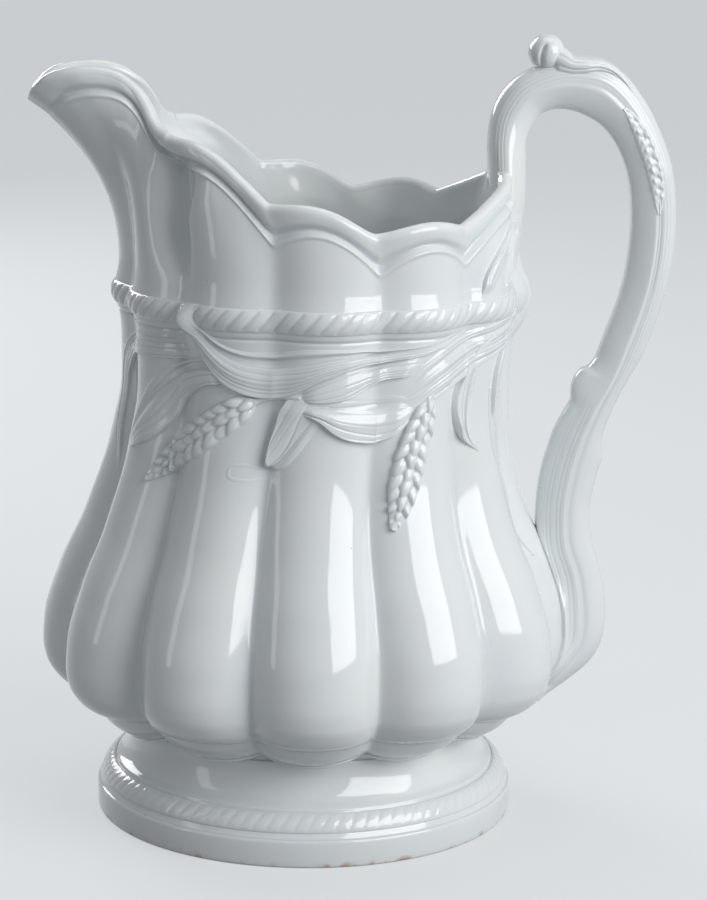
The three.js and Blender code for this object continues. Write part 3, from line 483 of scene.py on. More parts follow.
    def groove(self, angle: np.ndarray, soft: Amount = SOFT_GROOVES[0]) -> np.ndarray:
        """Works out how deep in a groove each angle lies.

        Args:
            angle: degrees from the near side towards the handle.
            soft: how round the bottom of the groove is, as a share of half a lobe.

        Returns:
            0 on the crest of a lobe to 1 in the groove between two.
        """
        start = 1 + soft - np.hypot(1, soft)
        eased = 1 + soft - np.hypot(1 - self.phase(angle), soft) - start
        full = ARC_FULLNESS * (1 - start)
        return (1 - np.sqrt(1 - (ARC_FULLNESS * eased) ** 2)) / (1 - np.sqrt(1 - full**2))

    def lower(self, angle: np.ndarray, height: Amount) -> np.ndarray:
        """Sets points on the lobed body up to just above the rope.

        Args:
            angle: degrees from the near side towards the handle.
            height: millimetres above the table.

        Returns:
            The points.
        """
        soft = np.interp(height, SOFT_HEIGHTS, SOFT_GROOVES)
        radius = self.crest(height) - self.depth(height) * self.groove(angle, soft)
        return turned(angle, radius + self.swell(height), height, self.lean(height))

    def swell(self, height: Amount) -> np.ndarray:
        """Returns how far the wall swells out round the rope at each height."""
        return self.rope_swell * bell(height, self.rope_height, self.rope_spread)

    def rim(self, angle: np.ndarray) -> np.ndarray:
        """Sets points on the rim's outer edge: the scallops, and the lip of the spout.

        Args:
            angle: degrees from the near side towards the handle.

        Returns:
            The points.
        """
        folded = fold(angle)
        first, last, lobe = self.first_cusp, 5 * self.half_lobe, 2 * self.half_lobe
        drawn = np.clip((first + lobe - folded) / lobe, 0, 1) * self.spout_turn
        a = np.radians(folded - drawn)
        radius = self.rim_radius - self.rim_depth * self.groove(folded, SOFT_GROOVES[1])
        place = np.clip((folded - first) / lobe, 0, len(self.arches) - 1e-6)
        height = np.interp(place, np.arange(len(self.cusps)), self.cusps)
        arch = np.take(self.arches, place.astype(int))
        height = height + arch * np.sin(math.pi * (place % 1)) ** ARCH_POWER * (folded < last)
        rising = np.clip((folded - last) / self.half_lobe, 0, 1)
        root_x = self.rim_centre + (self.rim_radius - self.rim_depth) * math.sin(math.radians(last))
        x = np.where(folded > last, root_x - self.limb_inset * rising, self.rim_centre + radius * np.sin(a))
        height = height + (self.limb_top - self.cusps[-1]) * rising**LIMB_POWER
        ring = np.stack([x, radius * np.cos(a) * self.pinch(x), height], -1)
        t = np.clip((folded + 90) / (90 + first), 0, 1) * (len(self.lip) - 1)
        lip = np.stack([np.interp(t, np.arange(len(self.lip)), column) for column in self.lip.T], -1)
        rim = np.where((folded < first)[..., None], lip, ring)
        rim[..., 1] *= np.where(np.abs(wrap(angle)) > 90, 1.0, -1.0)
        return rim

    def upper(self, angle: np.ndarray, share: Amount) -> np.ndarray:
        """Sets points on the wall above the rope.

        Args:
            angle: degrees from the near side towards the handle.
            share: 0 just above the rope to 1 at the rim.

        Returns:
            The points.
        """
        angle, share = np.broadcast_arrays(np.asarray(angle, float), np.asarray(share, float))
        low = self.lower(angle, np.full(angle.shape, self.neck_top))
        high = self.rim(angle)
        flare = share[..., None] ** self.flare_power
        plan = between(low[..., :2], high[..., :2], flare)
        height = between(low[..., 2], high[..., 2], share)
        folded = fold(angle)
        off = folded - self.first_cusp + self.valley_shift
        turnover = ease(share, *self.valley_turn)
        left, right = (between(self.valley_low[i], self.valley_high[i], turnover) for i in (0, 1))
        valley = bell(off / np.where(off < 0, left, right), 0, 1) * ease(share, *self.valley_start)
        valley = valley * (1 - ease(share, *self.valley_end)) * self.valley_depth
        swell = self.root_swell * bell(folded, 90, self.root_half) * ease(share, *self.root_start)
        swell = swell * (1 - ease(share, *self.root_end)) + self.swell(height)
        swell = swell - self.swell(self.neck_top) * (1 - flare[..., 0])
        plan = plan + unit(np.array(VALLEY_AIM) - plan) * (valley - swell)[..., None]
        return np.concatenate([plan, height[..., None]], -1)

    def outside(self, angle: np.ndarray, height: np.ndarray) -> np.ndarray:
        """Sets points on the outside, from the petals' lower edge to the rim.

        Args:
            angle: degrees from the near side towards the handle.
            height: millimetres above the table.

        Returns:
            The points.
        """
        angle, height = np.broadcast_arrays(np.asarray(angle, float), np.asarray(height, float))
        top = self.rim(angle)[..., 2]
        share = np.clip((height - self.neck_top) / (top - self.neck_top), 0, 1)
        above = (height > self.neck_top)[..., None]
        return np.where(above, self.upper(angle, share), self.lower(angle, height))

    def bridge(self, angle: np.ndarray, height: np.ndarray, rise: np.ndarray) -> np.ndarray:
        """Returns the rise of a sprig that spans the groove it is laid over instead of dipping into it."""
        deep = self.groove_fill * self.depth(np.minimum(height, self.neck_top))
        return rise + deep * bell(self.phase(angle), 1, self.bridge_half) * ease(rise, *self.bridge_rise)

    def stand_off(self, angle: np.ndarray, height: np.ndarray, distance: Amount) -> np.ndarray:
        """Sets points at a distance from the outside, along its own normal.

        Args:
            angle: degrees from the near side towards the handle.
            height: millimetres above the table.
            distance: millimetres out from the surface.

        Returns:
            The points, with the shape of the arguments together.
        """
        step_angle, step_height = 1.2, 0.8
        across = self.outside(angle + step_angle, height) - self.outside(angle - step_angle, height)
        upward = self.outside(angle, height + step_height) - self.outside(angle, height - step_height)
        away = unit(np.cross(across, upward)) * np.asarray(distance, float)[..., None]
        return self.outside(angle, height) + away


def shares(start: Pair, end: Pair, steps: Sequence[Pair]) -> list[Pair]:
    """Returns knots between two ends, given as shares of the way in x and in y."""
    return [(between(start[0], end[0], x), between(start[1], end[1], y)) for x, y in steps]


def offset_ring(ring: np.ndarray, distance: Amount, rise: Amount = 0.0) -> np.ndarray:
    """Moves a ring sideways along its own plan normal, and up.

    Args:
        ring: the ring's points.
        distance: millimetres out, or in where negative.
        rise: millimetres up.

    Returns:
        The moved ring.
    """
    tangent = unit((np.roll(ring, -1, 0) - np.roll(ring, 1, 0))[:, :2])
    moved = ring.copy()
    moved[:, 0] += tangent[:, 1] * distance
    moved[:, 1] -= tangent[:, 0] * distance
    moved[:, 2] += rise
    return moved


def rounded_ring(ring: np.ndarray, spread: float) -> np.ndarray:
    """Rounds a ring's plan off, as a wet sponge rounds the inside of a pressed wall.

    Args:
        ring: the ring's points, evenly spaced in angle.
        spread: degrees over which the corners are drawn out.

    Returns:
        The rounder ring, at the same heights.
    """
    count = len(ring)
    wave = np.fft.fft(ring[:, 0] + 1j * ring[:, 1])
    turns = np.fft.fftfreq(count) * count
    plan = np.fft.ifft(wave * np.exp(-0.5 * (turns * math.radians(spread)) ** 2))
    return np.column_stack([plan.real, plan.imag, ring[:, 2]])


@dataclass(frozen=True)
class Bench:
    """What the pieces are placed and finished with."""

    form: BodyForm
    axis_x: float                      # where the pitcher's axis stands in the frame, in metres
    glaze: bpy.types.Material
    foot_glaze: bpy.types.Material
    bare_clay: bpy.types.Material

    def place(
        self,
        name: str,
        surface: Surface,
        slot: Slot,
        replaced: Sequence[str],
        finishes: Sequence[bpy.types.Material] = (),
    ) -> bpy.types.Object:
        """Makes an object that rides on the pitcher's one body.

        Args:
            name: the object's name.
            surface: its shape.
            slot: the record's slot that it belongs to; not used.
            replaced: frame nodes that it stands for.
            finishes: its materials, of which the first covers it all; the body's glaze if none.

        Returns:
            The object.
        """
        piece = bpy.data.objects.new(name, surface.mesh(name, self.axis_x))
        bpy.context.scene.collection.objects.link(piece)
        for finish in finishes or (self.glaze,):
            piece.data.materials.append(finish)
        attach(piece, BODY)
        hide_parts(*replaced)
        LOG.info("%s: %d points", name, len(piece.data.vertices))
        return piece


@dataclass(frozen=True)
class Vessel:
    """The lobed body, its scalloped rim and spout, and its inside."""

    form: BodyForm
    columns_per_lobe: int = 60
    waist_radius: float = 66.4
    waist_height: float = 36.2
    flange_height: float = 38.4        # scalloped lip under the petals, on a crest
    flange_rise: float = 3.6           # and this much higher in a groove
    flange_radius: float = 76.8
    flange_depth: float = 3.0
    flange_lip: float = 1.2
    band_swell: float = 1.6            # the band between lip and petals bulges
    band_out: float = 0.55             # by these shares outward
    band_down: float = 0.8             # and downward
    wall: float = 5.4
    rim_wall: float = 4.4
    roll_half: float = 2.976           # half height of the rounded roll along the rim
    roll_rise: float = 0.95
    cove_drop: float = 6.3             # cove's middle under the rim, on a crest
    cove_depth: float = 1.75
    cove_half: float = 1.35
    bead_rise: float = 0.5
    bead_drop: float = 8.8
    bead_half: float = 0.7
    spout_fade: Pair = (-89.0, -80.0)  # cove and bead nearly end at the spout's tip
    limb_fade: Pair = (74.0, 81.0)     # and all three end at the handle
    cusp_start: Pair = (-38.0, -24.0)  # the spout's own cusp doesn't stretch them
    cusp_stretch: float = 0.5          # roll, cove and bead grow by this share at a cusp
    crown: float = 2.7
    crown_drop: float = 1.0            # the rim's round top starts this far down
    crown_sink: float = 0.8            # it loses this share of its height
    crown_fade: Pair = (73.0, 80.0)    # where the handle's limb takes over
    section_depth: float = 17.0        # roll, cove and bead end above this
    mouth: float = 14.0                # the wall grows to full thickness this far down
    rim_sponging: float = 0.6          # degrees over which the inside is rounded off at the rim
    sponging: float = 4.6              # and from the mouth down
    turn_in: float = 66.0              # the inside starts to turn in to the floor here
    thickening: float = 0.3            # and the wall grows thicker by this share
    thick_reach: float = 30.0          # over this height
    floor_height: float = 47.0
    floor_radius: float = 54.0
    floor_rise: float = 0.6

    def ring(self, radius: Amount, height: Amount) -> np.ndarray:
        """Returns a ring of points about the body's centre line."""
        return turned(self.angles(), radius, height, self.form.lean(height))

    def angles(self) -> np.ndarray:
        """Returns the angle of every column."""
        count = self.form.lobes * self.columns_per_lobe
        return -90 + np.arange(count) * 360 / count

    def foot_of_petals(self) -> list[np.ndarray]:
        """Draws the underside, the scalloped lip and the band between it and the petals.

        Returns:
            Rings from the middle of the underside out to the petals' lower edge.
        """
        form = self.form
        groove = form.groove(self.angles())
        lip_radius = self.flange_radius - self.flange_depth * groove
        lip_height = self.flange_height + self.flange_rise * groove
        rings = [self.ring(radius, self.waist_height) for radius in (4, 30, 50, self.waist_radius)]
        for share in (0.3, 0.6, 0.85, 0.95):
            height = between(self.waist_height, lip_height - self.flange_lip, share**0.6)
            rings.append(self.ring(between(self.waist_radius, lip_radius - 0.5, share), height))
        for inward, down in ((0.15, 0.85), (0, 0.5), (0.02, 0.2), (0.25, 0)):
            rings.append(self.ring(lip_radius - inward, lip_height - self.flange_lip * down))
        edge_height = form.petal_edge + form.petal_edge_rise * groove
        edge_radius = form.crest(edge_height) - form.depth(edge_height) * groove
        for share in (0.08, 0.18, 0.3, 0.42, 0.54, 0.66, 0.78, 0.88, 0.95, 0.985):
            swell = self.band_swell * math.sin(math.pi * share)
            radius = between(lip_radius, edge_radius, share) + swell * self.band_out
            height = between(lip_height, edge_height, share) - swell * self.band_down
            rings.append(self.ring(radius, height))
        return rings

    def side(self) -> list[np.ndarray]:
        """Draws the lobed side with the incised line under the rope.

        Returns:
            Rings from the petals' lower edge to just above the rope.
        """
        form, angles = self.form, self.angles()
        edge = form.petal_edge + form.petal_edge_rise * form.groove(angles)
        rings = [form.lower(angles, between(edge, form.belly_height, share))
                 for share in np.linspace(0, 1, 26)[:-1] ** 1.8]
        plain = np.arange(form.belly_height, form.neck_top, 1.25)
        close = 2.0
        near_line = np.abs(plain - form.line_height) < close
        line = form.line_height + np.linspace(-close, close, 17)
        for height in np.sort(np.concatenate([plain[~near_line], line])):
            cut = form.line_depth * bell(height, form.line_height, form.line_half)
            rings.append(offset_ring(form.lower(angles, height), -cut))
        return rings

    def rim_section(self, drop: float) -> np.ndarray:
        """Works out the roll, cove and bead along the rim.

        Args:
            drop: millimetres under the rim.

        Returns:
            How far the outside stands out there in each column.
        """
        folded = fold(self.angles())
        cusp = self.form.groove(self.angles()) * ease(folded, *self.cusp_start)
        place = drop / (1 + self.cusp_stretch * cusp)
        roll = self.roll_rise * bell(place, self.crown_drop, self.roll_half)
        line = self.bead_rise * bell(place, self.bead_drop, self.bead_half)
        line = line - self.cove_depth * bell(place, self.cove_drop, self.cove_half)
        line = line * between(0.1, 1, ease(folded, *self.spout_fade))
        return (roll + line) * (1 - ease(folded, *self.limb_fade))

    def below_rim(self, drop: Amount, share: float = 1.0) -> np.ndarray:
        """Returns the ring of the plain wall at a share of the way up to a drop under the rim."""
        top = self.form.rim(self.angles())[:, 2]
        return self.form.upper(self.angles(), share * (1 - drop / (top - self.form.neck_top)))

    def upper_wall(self) -> list[np.ndarray]:
        """Draws the outside of the neck, with the rim's roll, cove and bead.

        Returns:
            Rings from above the rope to the rim's outer edge.
        """
        drops = np.linspace(self.section_depth, self.crown_drop, 50)
        rings = [self.below_rim(drops[0], share) for share in np.linspace(0, 1, 40)[:-1]]
        return rings + [offset_ring(self.below_rim(drop), self.rim_section(drop)) for drop in drops]

    def rim_crown(self) -> list[np.ndarray]:
        """Draws the rim's round top, which sinks where the handle's limb takes over.

        Returns:
            Rings over the rim, from its outer edge to the inside.
        """
        edge = self.below_rim(self.crown_drop)
        start = self.rim_section(self.crown_drop)
        crown = self.crown * (1 - self.crown_sink * ease(fold(self.angles()), *self.crown_fade))
        rings = []
        for turn in np.linspace(0, math.pi, 21)[1:]:
            inward = (self.rim_wall + start) * (1 - math.cos(turn)) / 2
            rings.append(offset_ring(edge, start - inward, crown * math.sin(turn)))
        return rings

    def inside(self) -> list[np.ndarray]:
        """Draws the inside, which a sponge has rounded off.

        Returns:
            Rings from the rim down to the middle of the floor.
        """
        form, rings = self.form, []
        for drop in np.linspace(1.5, self.mouth, 12):
            spread = between(self.rim_sponging, self.sponging, float(ease(drop, 0, self.mouth)))
            ring = rounded_ring(self.below_rim(drop), spread)
            rings.append(offset_ring(ring, -between(self.rim_wall, self.wall, drop / self.mouth)))
        for share in np.linspace(1, 0, 26)[1:]:
            ring = rounded_ring(self.below_rim(self.mouth, share), self.sponging)
            rings.append(offset_ring(ring, -self.wall))
        for height in np.linspace(form.neck_top, self.turn_in, 60)[1:]:
            ring = rounded_ring(form.lower(self.angles(), height), self.sponging)
            down = ease(self.turn_in + self.thick_reach - height, 0, self.thick_reach)
            thick = self.wall * (1 + self.thickening * down)
            rings.append(offset_ring(ring, -thick))
        centre = rings[-1].mean(0)
        plan = rings[-1][:, :2] - centre[:2]
        target = plan / np.linalg.norm(plan, axis=1, keepdims=True) * self.floor_radius
        for turn in np.linspace(0, math.pi / 2, 16)[1:]:
            mixed = between(target, plan, max(math.cos(turn), 0) ** 0.8) + centre[:2]
            height = self.turn_in - (self.turn_in - self.floor_height) * (1 - math.cos(turn))
            rings.append(np.column_stack([mixed, np.full(len(mixed), height)]))
        flat = rings[-1]
        for share in (0.75, 0.5, 0.25, 0.06):
            ring = between(centre, flat, share)
            ring[:, 2] = self.floor_height + self.floor_rise * (1 - share)
            rings.append(ring)
        return rings

    def surface(self) -> Surface:
        """Returns the whole vessel as one closed skin."""
        rings = self.foot_of_petals() + self.side() + self.upper_wall() + self.rim_crown() + self.inside()
        return Surface.skin(np.stack(rings)).outward()

    def dress(self, bench: Bench) -> None:
        """Glazes the vessel, which stands for both pressed half walls and the floor disc."""
        bench.place("vessel", self.surface(), Slot.BODY, ["body_wall_near", "body_wall_far", "floor_disc"])


# Rope mouldings

@dataclass(frozen=True)
class Rope:
    """A twisted rope moulding: strands that lean to the right as they climb."""

    strands: int
    columns_per_strand: int = 12
    twist: float = 1.3                 # strands crossed between its lower and upper edge
    cut: float = 0.58                  # depth of the marks, as a share of the rope's height
    strand_width: float = 1.9
    strand_power: float = 0.55
    edge_fade: Pair = (0.02, 0.3)      # the marks fade out this near its edges

    def grid(self, rows: int, start: float = 0.0) -> tuple[np.ndarray, np.ndarray]:
        """Spreads a rope's face out.

        Args:
            rows: points from its lower to its upper edge.
            start: angle of the first column.

        Returns:
            The angle of each column, and -1 to 1 across the rope for each row.
        """
        count = self.strands * self.columns_per_strand
        angle = (start + np.arange(count) * 360 / count)[:, None]
        return angle, -np.cos(np.linspace(0, math.pi, rows))[None, :]

    def relief(self, angle: np.ndarray, across: np.ndarray, marked: Amount = 1.0) -> np.ndarray:
        """Works out how far the rope stands out, as a share of its full height.

        Args:
            angle: degrees round the body.
            across: -1 at the lower edge to 1 at the upper one.
            marked: 1 where the strands show, 0 where the rope is plain.

        Returns:
            0 at its edges to 1 on a strand.
        """
        plain = np.sqrt(np.clip(1 - across**2, 0, 1))
        phase = (angle / 360 * self.strands - across * self.twist / 2) % 1
        strand = np.clip((1 - np.abs(2 * phase - 1)) * self.strand_width, 0, 1) ** self.strand_power
        fade = ease(1 - np.abs(across), *self.edge_fade) * marked
        return plain * (1 - self.cut * (1 - strand) * fade)


@dataclass(frozen=True)
class NeckRope:
    """The rope round the neck, laid over the lobes."""

    form: BodyForm
    rope: Rope = Rope(strands=84)
    half: float = 4.35
    proud: float = 1.5
    buried: float = 1.2
    rows: int = 22
    marks_end: float = 62.0            # leaves cover it between here and the handle
    marks_fade: float = 12.0
    root_half: float = 13.0            # and it swells into a boss behind the handle's root
    root_proud: float = 2.9
    root_drop: float = 1.0
    boss_start: float = 86.0
    border: float = 0.12               # its edges lie this deep in the body

    def surface(self) -> Surface:
        """Draws the rope with its boss behind the handle's root.

        Returns:
            The rope as a closed band.
        """
        angle, across = self.rope.grid(self.rows, -90.0)
        folded = fold(angle)
        marked = 1 - ease(folded, self.marks_end, self.marks_end + self.marks_fade)
        boss = ease(folded, self.marks_end, self.boss_start)
        relief = between(self.rope.relief(angle, across, marked), (1 - across**2) ** 1.6, boss)
        half = between(self.half, self.root_half, boss)
        proud = between(self.proud, self.root_proud, boss)
        middle = self.form.rope_height - boss * self.root_drop
        face = self.form.stand_off(angle + 0 * across, middle + across * half, relief * proud - self.border)
        edges = middle + np.array([[0.9, -0.9]]) * half
        back = self.form.stand_off(angle + 0 * edges, edges, np.full(edges.shape, -self.buried))
        return Surface.skin(np.concatenate([face, back], 1), loop=True).outward()

    def dress(self, bench: Bench) -> None:
        """Lays the rope round the neck under the body's glaze."""
        bench.place("rope_moulding", self.surface(), Slot.RELIEF, ["neck_rope"])


# The foot's section: its lower corner and its edge as distances from its radius, then radii.
FOOT_CORNER = ((1.2, 0.0), (0.6, 0.12), (0.25, 0.45), (0.12, 1.1), (0.02, 3), (0, 6))
FOOT_EDGE = ((0, -1.2), (0.12, -0.45), (0.45, -0.02), (0.95, 0.2), (1.15, 0.5), (1.5, 1.1), (1.9, 1.7))
FOOT_SHOULDER = ((12.8, 79.9), (16, 77.4), (19.4, 74.7), (20.4, 74.0), (22, 72.0), (25, 69.8), (29, 68.2),
                 (32.5, 67.4), (36.6, 67.2))
FOOT_HOLLOW = ((60, 27.5), (65, 21), (68.5, 12), (70.5, 4))


@dataclass(frozen=True)
class Foot:
    """The turned foot: unglazed standing ring, sloping shoulder and hollow underside."""

    columns: int = 288
    radius: float = 82.0
    ring_inside: float = 73.0
    edge_height: float = 10.6
    waist_radius: float = 67.2
    waist_height: float = 36.6
    rope_low: Pair = (79.9, 12.9)
    rope_high: Pair = (75.0, 19.4)
    hollow_radius: float = 56.0
    hollow_height: float = 30.0
    bead_height: float = 20.35         # a thin turned bead over the rope
    bead_half: float = 0.4
    bead_rise: float = 0.28

    def outline(self) -> list[Pair]:
        """Draws the section, from the standing ring round to the inside.

        Returns:
            Rows of radius and height.
        """
        side = [(self.radius - inward, height) for inward, height in FOOT_CORNER]
        side += [(self.radius - inward, self.edge_height + up) for inward, up in FOOT_EDGE]
        shoulder = Profile(FOOT_SHOULDER)
        # The heights lie closer together round the bead.
        heights = np.concatenate([np.linspace(FOOT_SHOULDER[0][0], 19.6, 14), np.arange(19.9, 21.2, 0.3),
                                  [21.5], np.linspace(22, self.waist_height, 22)])
        radii = shoulder(heights) + self.bead_rise * bell(heights, self.bead_height, self.bead_half)
        side += [(float(radius), float(height)) for radius, height in zip(radii, heights)]
        top = [(self.waist_radius - 4, self.waist_height), (self.hollow_radius, self.waist_height - 0.6)]
        under = Profile([(self.hollow_radius, self.hollow_height + 2), *FOOT_HOLLOW])
        inner = [(r, float(under(r))) for r in np.linspace(self.hollow_radius, FOOT_HOLLOW[-1][0], 16)]
        return side + top + inner + [(71.4, 1.4), (72.2, 0.35), (self.ring_inside, 0.0), (77, 0.0)]

    def surface(self) -> Surface:
        """Returns the foot as a closed turned ring."""
        angle = (np.arange(self.columns) * 360 / self.columns)[:, None]
        return Surface.skin(turned(angle, *np.array(self.outline()).T), loop=True).outward()

    def dress(self, bench: Bench) -> None:
        """Glazes the foot and wipes the glaze off its standing face.

        Args:
            bench: what the pieces are placed and finished with.
        """
        foot = bench.place("turned_foot", self.surface(), Slot.FOOT, ["foot"],
                           [bench.foot_glaze, bench.bare_clay])
        inner, outer = self.ring_inside - 1, self.radius - 0.4
        for face in foot.data.polygons:
            radius = math.hypot(face.center.x - bench.axis_x, face.center.y) / MM
            if face.center.z < 0.3 * MM and inner < radius < outer:
                face.material_index = 1


@dataclass(frozen=True)
class FootRope:
    """The rope that lies on the foot's shoulder."""

    foot: Foot
    rope: Rope = Rope(strands=96, columns_per_strand=10, twist=0.9, cut=0.2)
    proud: float = 1.7
    buried: float = 0.8
    border: float = 0.15               # its edges lie this deep in the foot
    rows: int = 16

    def surface(self) -> Surface:
        """Lays the rope on the slope of the foot's shoulder.

        Returns:
            The rope as a closed band.
        """
        (low_r, low_z), (high_r, high_z) = self.foot.rope_low, self.foot.rope_high
        run = np.array([high_r - low_r, high_z - low_z])
        away = np.array([run[1], -run[0]]) / np.linalg.norm(run)
        angle, across = self.rope.grid(self.rows)
        back = np.ones((len(angle), 1))
        share = np.hstack([(across + 1) / 2 + 0 * angle, back * 0.9, back * 0.1])
        relief = self.rope.relief(angle, across) * self.proud - self.border
        relief = np.hstack([relief, back * -self.buried, back * -self.buried])
        radius = low_r + run[0] * share + away[0] * relief
        rows = turned(angle, radius, low_z + run[1] * share + away[1] * relief)
        return Surface.skin(rows, loop=True).outward()

    def dress(self, bench: Bench) -> None:
        """Lays the rope on the foot under the body's glaze."""
        bench.place("foot_rope_moulding", self.surface(), Slot.FOOT, ["foot_rope"])


# Sprigs: leaves, stems and ears in relief

def patch(form: BodyForm, angle: np.ndarray, height: np.ndarray, rise: np.ndarray, buried: float) -> Surface:
    """Closes a patch of relief on the near side, between its face and its back in the clay.

    Args:
        form: the body that it lies on.
        angle: degrees from the near side, in rows along the patch.
        height: millimetres above the table.
        rise: millimetres out from the body.
        buried: how deep its back lies.

    Returns:
        The closed patch.
    """
    face = form.stand_off(angle, height, form.bridge(angle, height, rise))
    angle, height = angle[:, [-1, 0]], height[:, [-1, 0]]
    back = form.stand_off(angle, height, np.full(angle.shape, -buried))
    return Surface.skin(np.concatenate([face, back], 1)).outward()


def arc_length(form: BodyForm, marks: Sequence[Sequence[float]]) -> float:
    """Returns the millimetres in one degree round the body, at the marks' mean height."""
    level = sum(mark[1] for mark in marks) / len(marks)
    return math.radians(1) * float(form.crest(min(level, form.neck_top)))


@dataclass(frozen=True)
class Relief:
    """What leaves, stems and ears share: they are laid over the body on both sides."""

    name: str

    def surface(self, form: BodyForm) -> Surface:
        """Returns the near side's relief."""
        raise NotImplementedError

    def dress(self, bench: Bench, side: Side) -> None:
        """Lays the relief on one side of the body under its glaze."""
        bench.place(f"relief_{self.name}_{side.value}", self.surface(bench.form).on(side), Slot.RELIEF,
                    [f"{self.name}_{side.value}"])


@dataclass(frozen=True)
class Sprig(Relief):
    """A sprig along a line of stations: angle, height and half width."""

    stations: tuple[Triple, ...]
    rise: float = 2.2
    border: float = 0.16               # its edge lies this deep in the body
    buried: float = 1.0
    along: int = 90
    over: int = 34

    def surface(self, form: BodyForm) -> Surface:
        """Draws the sprig square to its line.

        Args:
            form: the body that it lies on.

        Returns:
            The near side's sprig.
        """
        line = thread(self.stations, self.along, (arc_length(form, self.stations), 1))
        arc = math.radians(1) * form.crest(np.minimum(line[:, 1], form.neck_top))
        slope = np.gradient(line, axis=0)
        run = unit(np.stack([slope[:, 0] * arc, slope[:, 1]], -1))
        half = np.maximum(line[:, 2], 0.25)[:, None]
        across = half * np.linspace(-1, 1, self.over)[None, :]
        angle = line[:, :1] + (run[:, 1] / arc)[:, None] * across
        height = line[:, 1:2] - run[:, :1] * across
        step = np.hypot(np.diff(line[:, 0]) * arc[1:], np.diff(line[:, 1]))
        along = np.broadcast_to(np.concatenate([[0], np.cumsum(step)])[:, None], angle.shape)
        rise = self.relief(along, across, half) - self.border
        return patch(form, angle, height, rise, self.buried)

    def relief(self, along: np.ndarray, across: np.ndarray, half: np.ndarray) -> np.ndarray:
        """Returns the relief's height at places along and across it, for its half width there."""
        raise NotImplementedError


@dataclass(frozen=True)
class Blade(Relief):
    """A leaf between two edges: it swells softly out of the body at one and breaks off at the other."""

    soft: tuple[Pair, ...]
    crisp: tuple[Pair, ...]
    rise: float = 2.3
    root: float = 0.1                  # share of its length over which it grows out of the body
    tip: float = 0.14
    lines: int = 6                     # fine lines along it, unevenly spaced as a modeller's tool leaves them
    line_depth: float = 0.2
    folds: tuple[Triple, ...] = ()
    lift: float = 0.0                  # extra height where it starts over the rope
    border: float = 0.14
    buried: float = 1.0
    break_mm: float = 0.75
    full_width: float = 7.0            # a narrower leaf lies lower
    lift_place: Pair = (0.045, 0.04)   # middle and width of that extra height
    groove_start: Pair = (0.3, 1.4)    # its lines keep this far from its edges
    along: int = 150
    over: int = 56

    def relief(self, along: np.ndarray, across: np.ndarray, width: np.ndarray) -> np.ndarray:
        """Works out the leaf's height over the body.

        Args:
            along: share of its length.
            across: 0 at the soft edge to 1 at the crisp one.
            width: its width in millimetres.

        Returns:
            Millimetres out from the body.
        """
        swell = 0.8 * ease(across, 0, 0.72) + 0.2 * across
        drop = 1 - ease(across, 1 - np.clip(self.break_mm / width, 0.03, 0.45), 1.0)
        full = np.clip(width / self.full_width, 0.12, 1) ** 0.6
        full = full * ease(along, -0.02, self.root) * (1 - 0.92 * ease(along, 1 - self.tip, 1))
        height = self.rise * swell * full
        height = height + self.lift * bell(along, *self.lift_place) * np.sin(math.pi * across) ** 0.6
        for place, spread, rise in self.folds:
            height = height + rise * full * bell(across, place, spread) * ease(along, 0, 0.15)
        chance = np.random.default_rng(len(self.name) + self.lines)
        inside = ease(np.minimum(across, 1 - across) * width, *self.groove_start)
        for line in range(self.lines):
            place = (line + 0.5 + chance.uniform(-0.3, 0.3)) / self.lines
            turns = along * chance.uniform(0.5, 1.2) + chance.random()
            place = place + 0.25 / self.lines * np.sin(2 * math.pi * turns)
            depth = self.line_depth * chance.uniform(0.5, 1.3)
            cut = bell((across - place) * width, 0, chance.uniform(0.24, 0.42))
            height = height - depth * cut * inside * full
        return height * drop

    def surface(self, form: BodyForm) -> Surface:
        """Draws the leaf from edge to edge.

        Args:
            form: the body that it lies on.

        Returns:
            The near side's leaf.
        """
        scale = (arc_length(form, self.crisp), 1)
        soft, crisp = (thread(edge, self.along, scale)[:, None] for edge in (self.soft, self.crisp))
        across = 1 - (1 - np.linspace(0, 1, self.over)[None, :]) ** 1.25
        width = np.maximum(np.linalg.norm((crisp - soft) * scale, axis=-1), 0.5)
        spot = between(soft, crisp, across[..., None])
        along = np.linspace(0, 1, self.along)[:, None]
        rise = self.relief(along, across, width) - self.border
        return patch(form, spot[..., 0], spot[..., 1], rise, self.buried)


@dataclass(frozen=True)
class Stem(Sprig):
    """A single stem or tendril."""

    def relief(self, along: np.ndarray, across: np.ndarray, half: np.ndarray) -> np.ndarray:
        """Rounds the stem off.

        Args:
            along: millimetres along the line; not used.
            across: millimetres from the line, to the right of the way it runs.
            half: half width at each point.

        Returns:
            Millimetres out from the body.
        """
        t = np.clip(across / half, -1, 1)
        strand = np.abs(np.sin(math.pi * (t + 1) / 2)) ** 0.6
        return self.rise * np.clip(half / 2.0, 0.35, 1) * np.sqrt(1 - t * t) * (0.62 + 0.38 * strand)


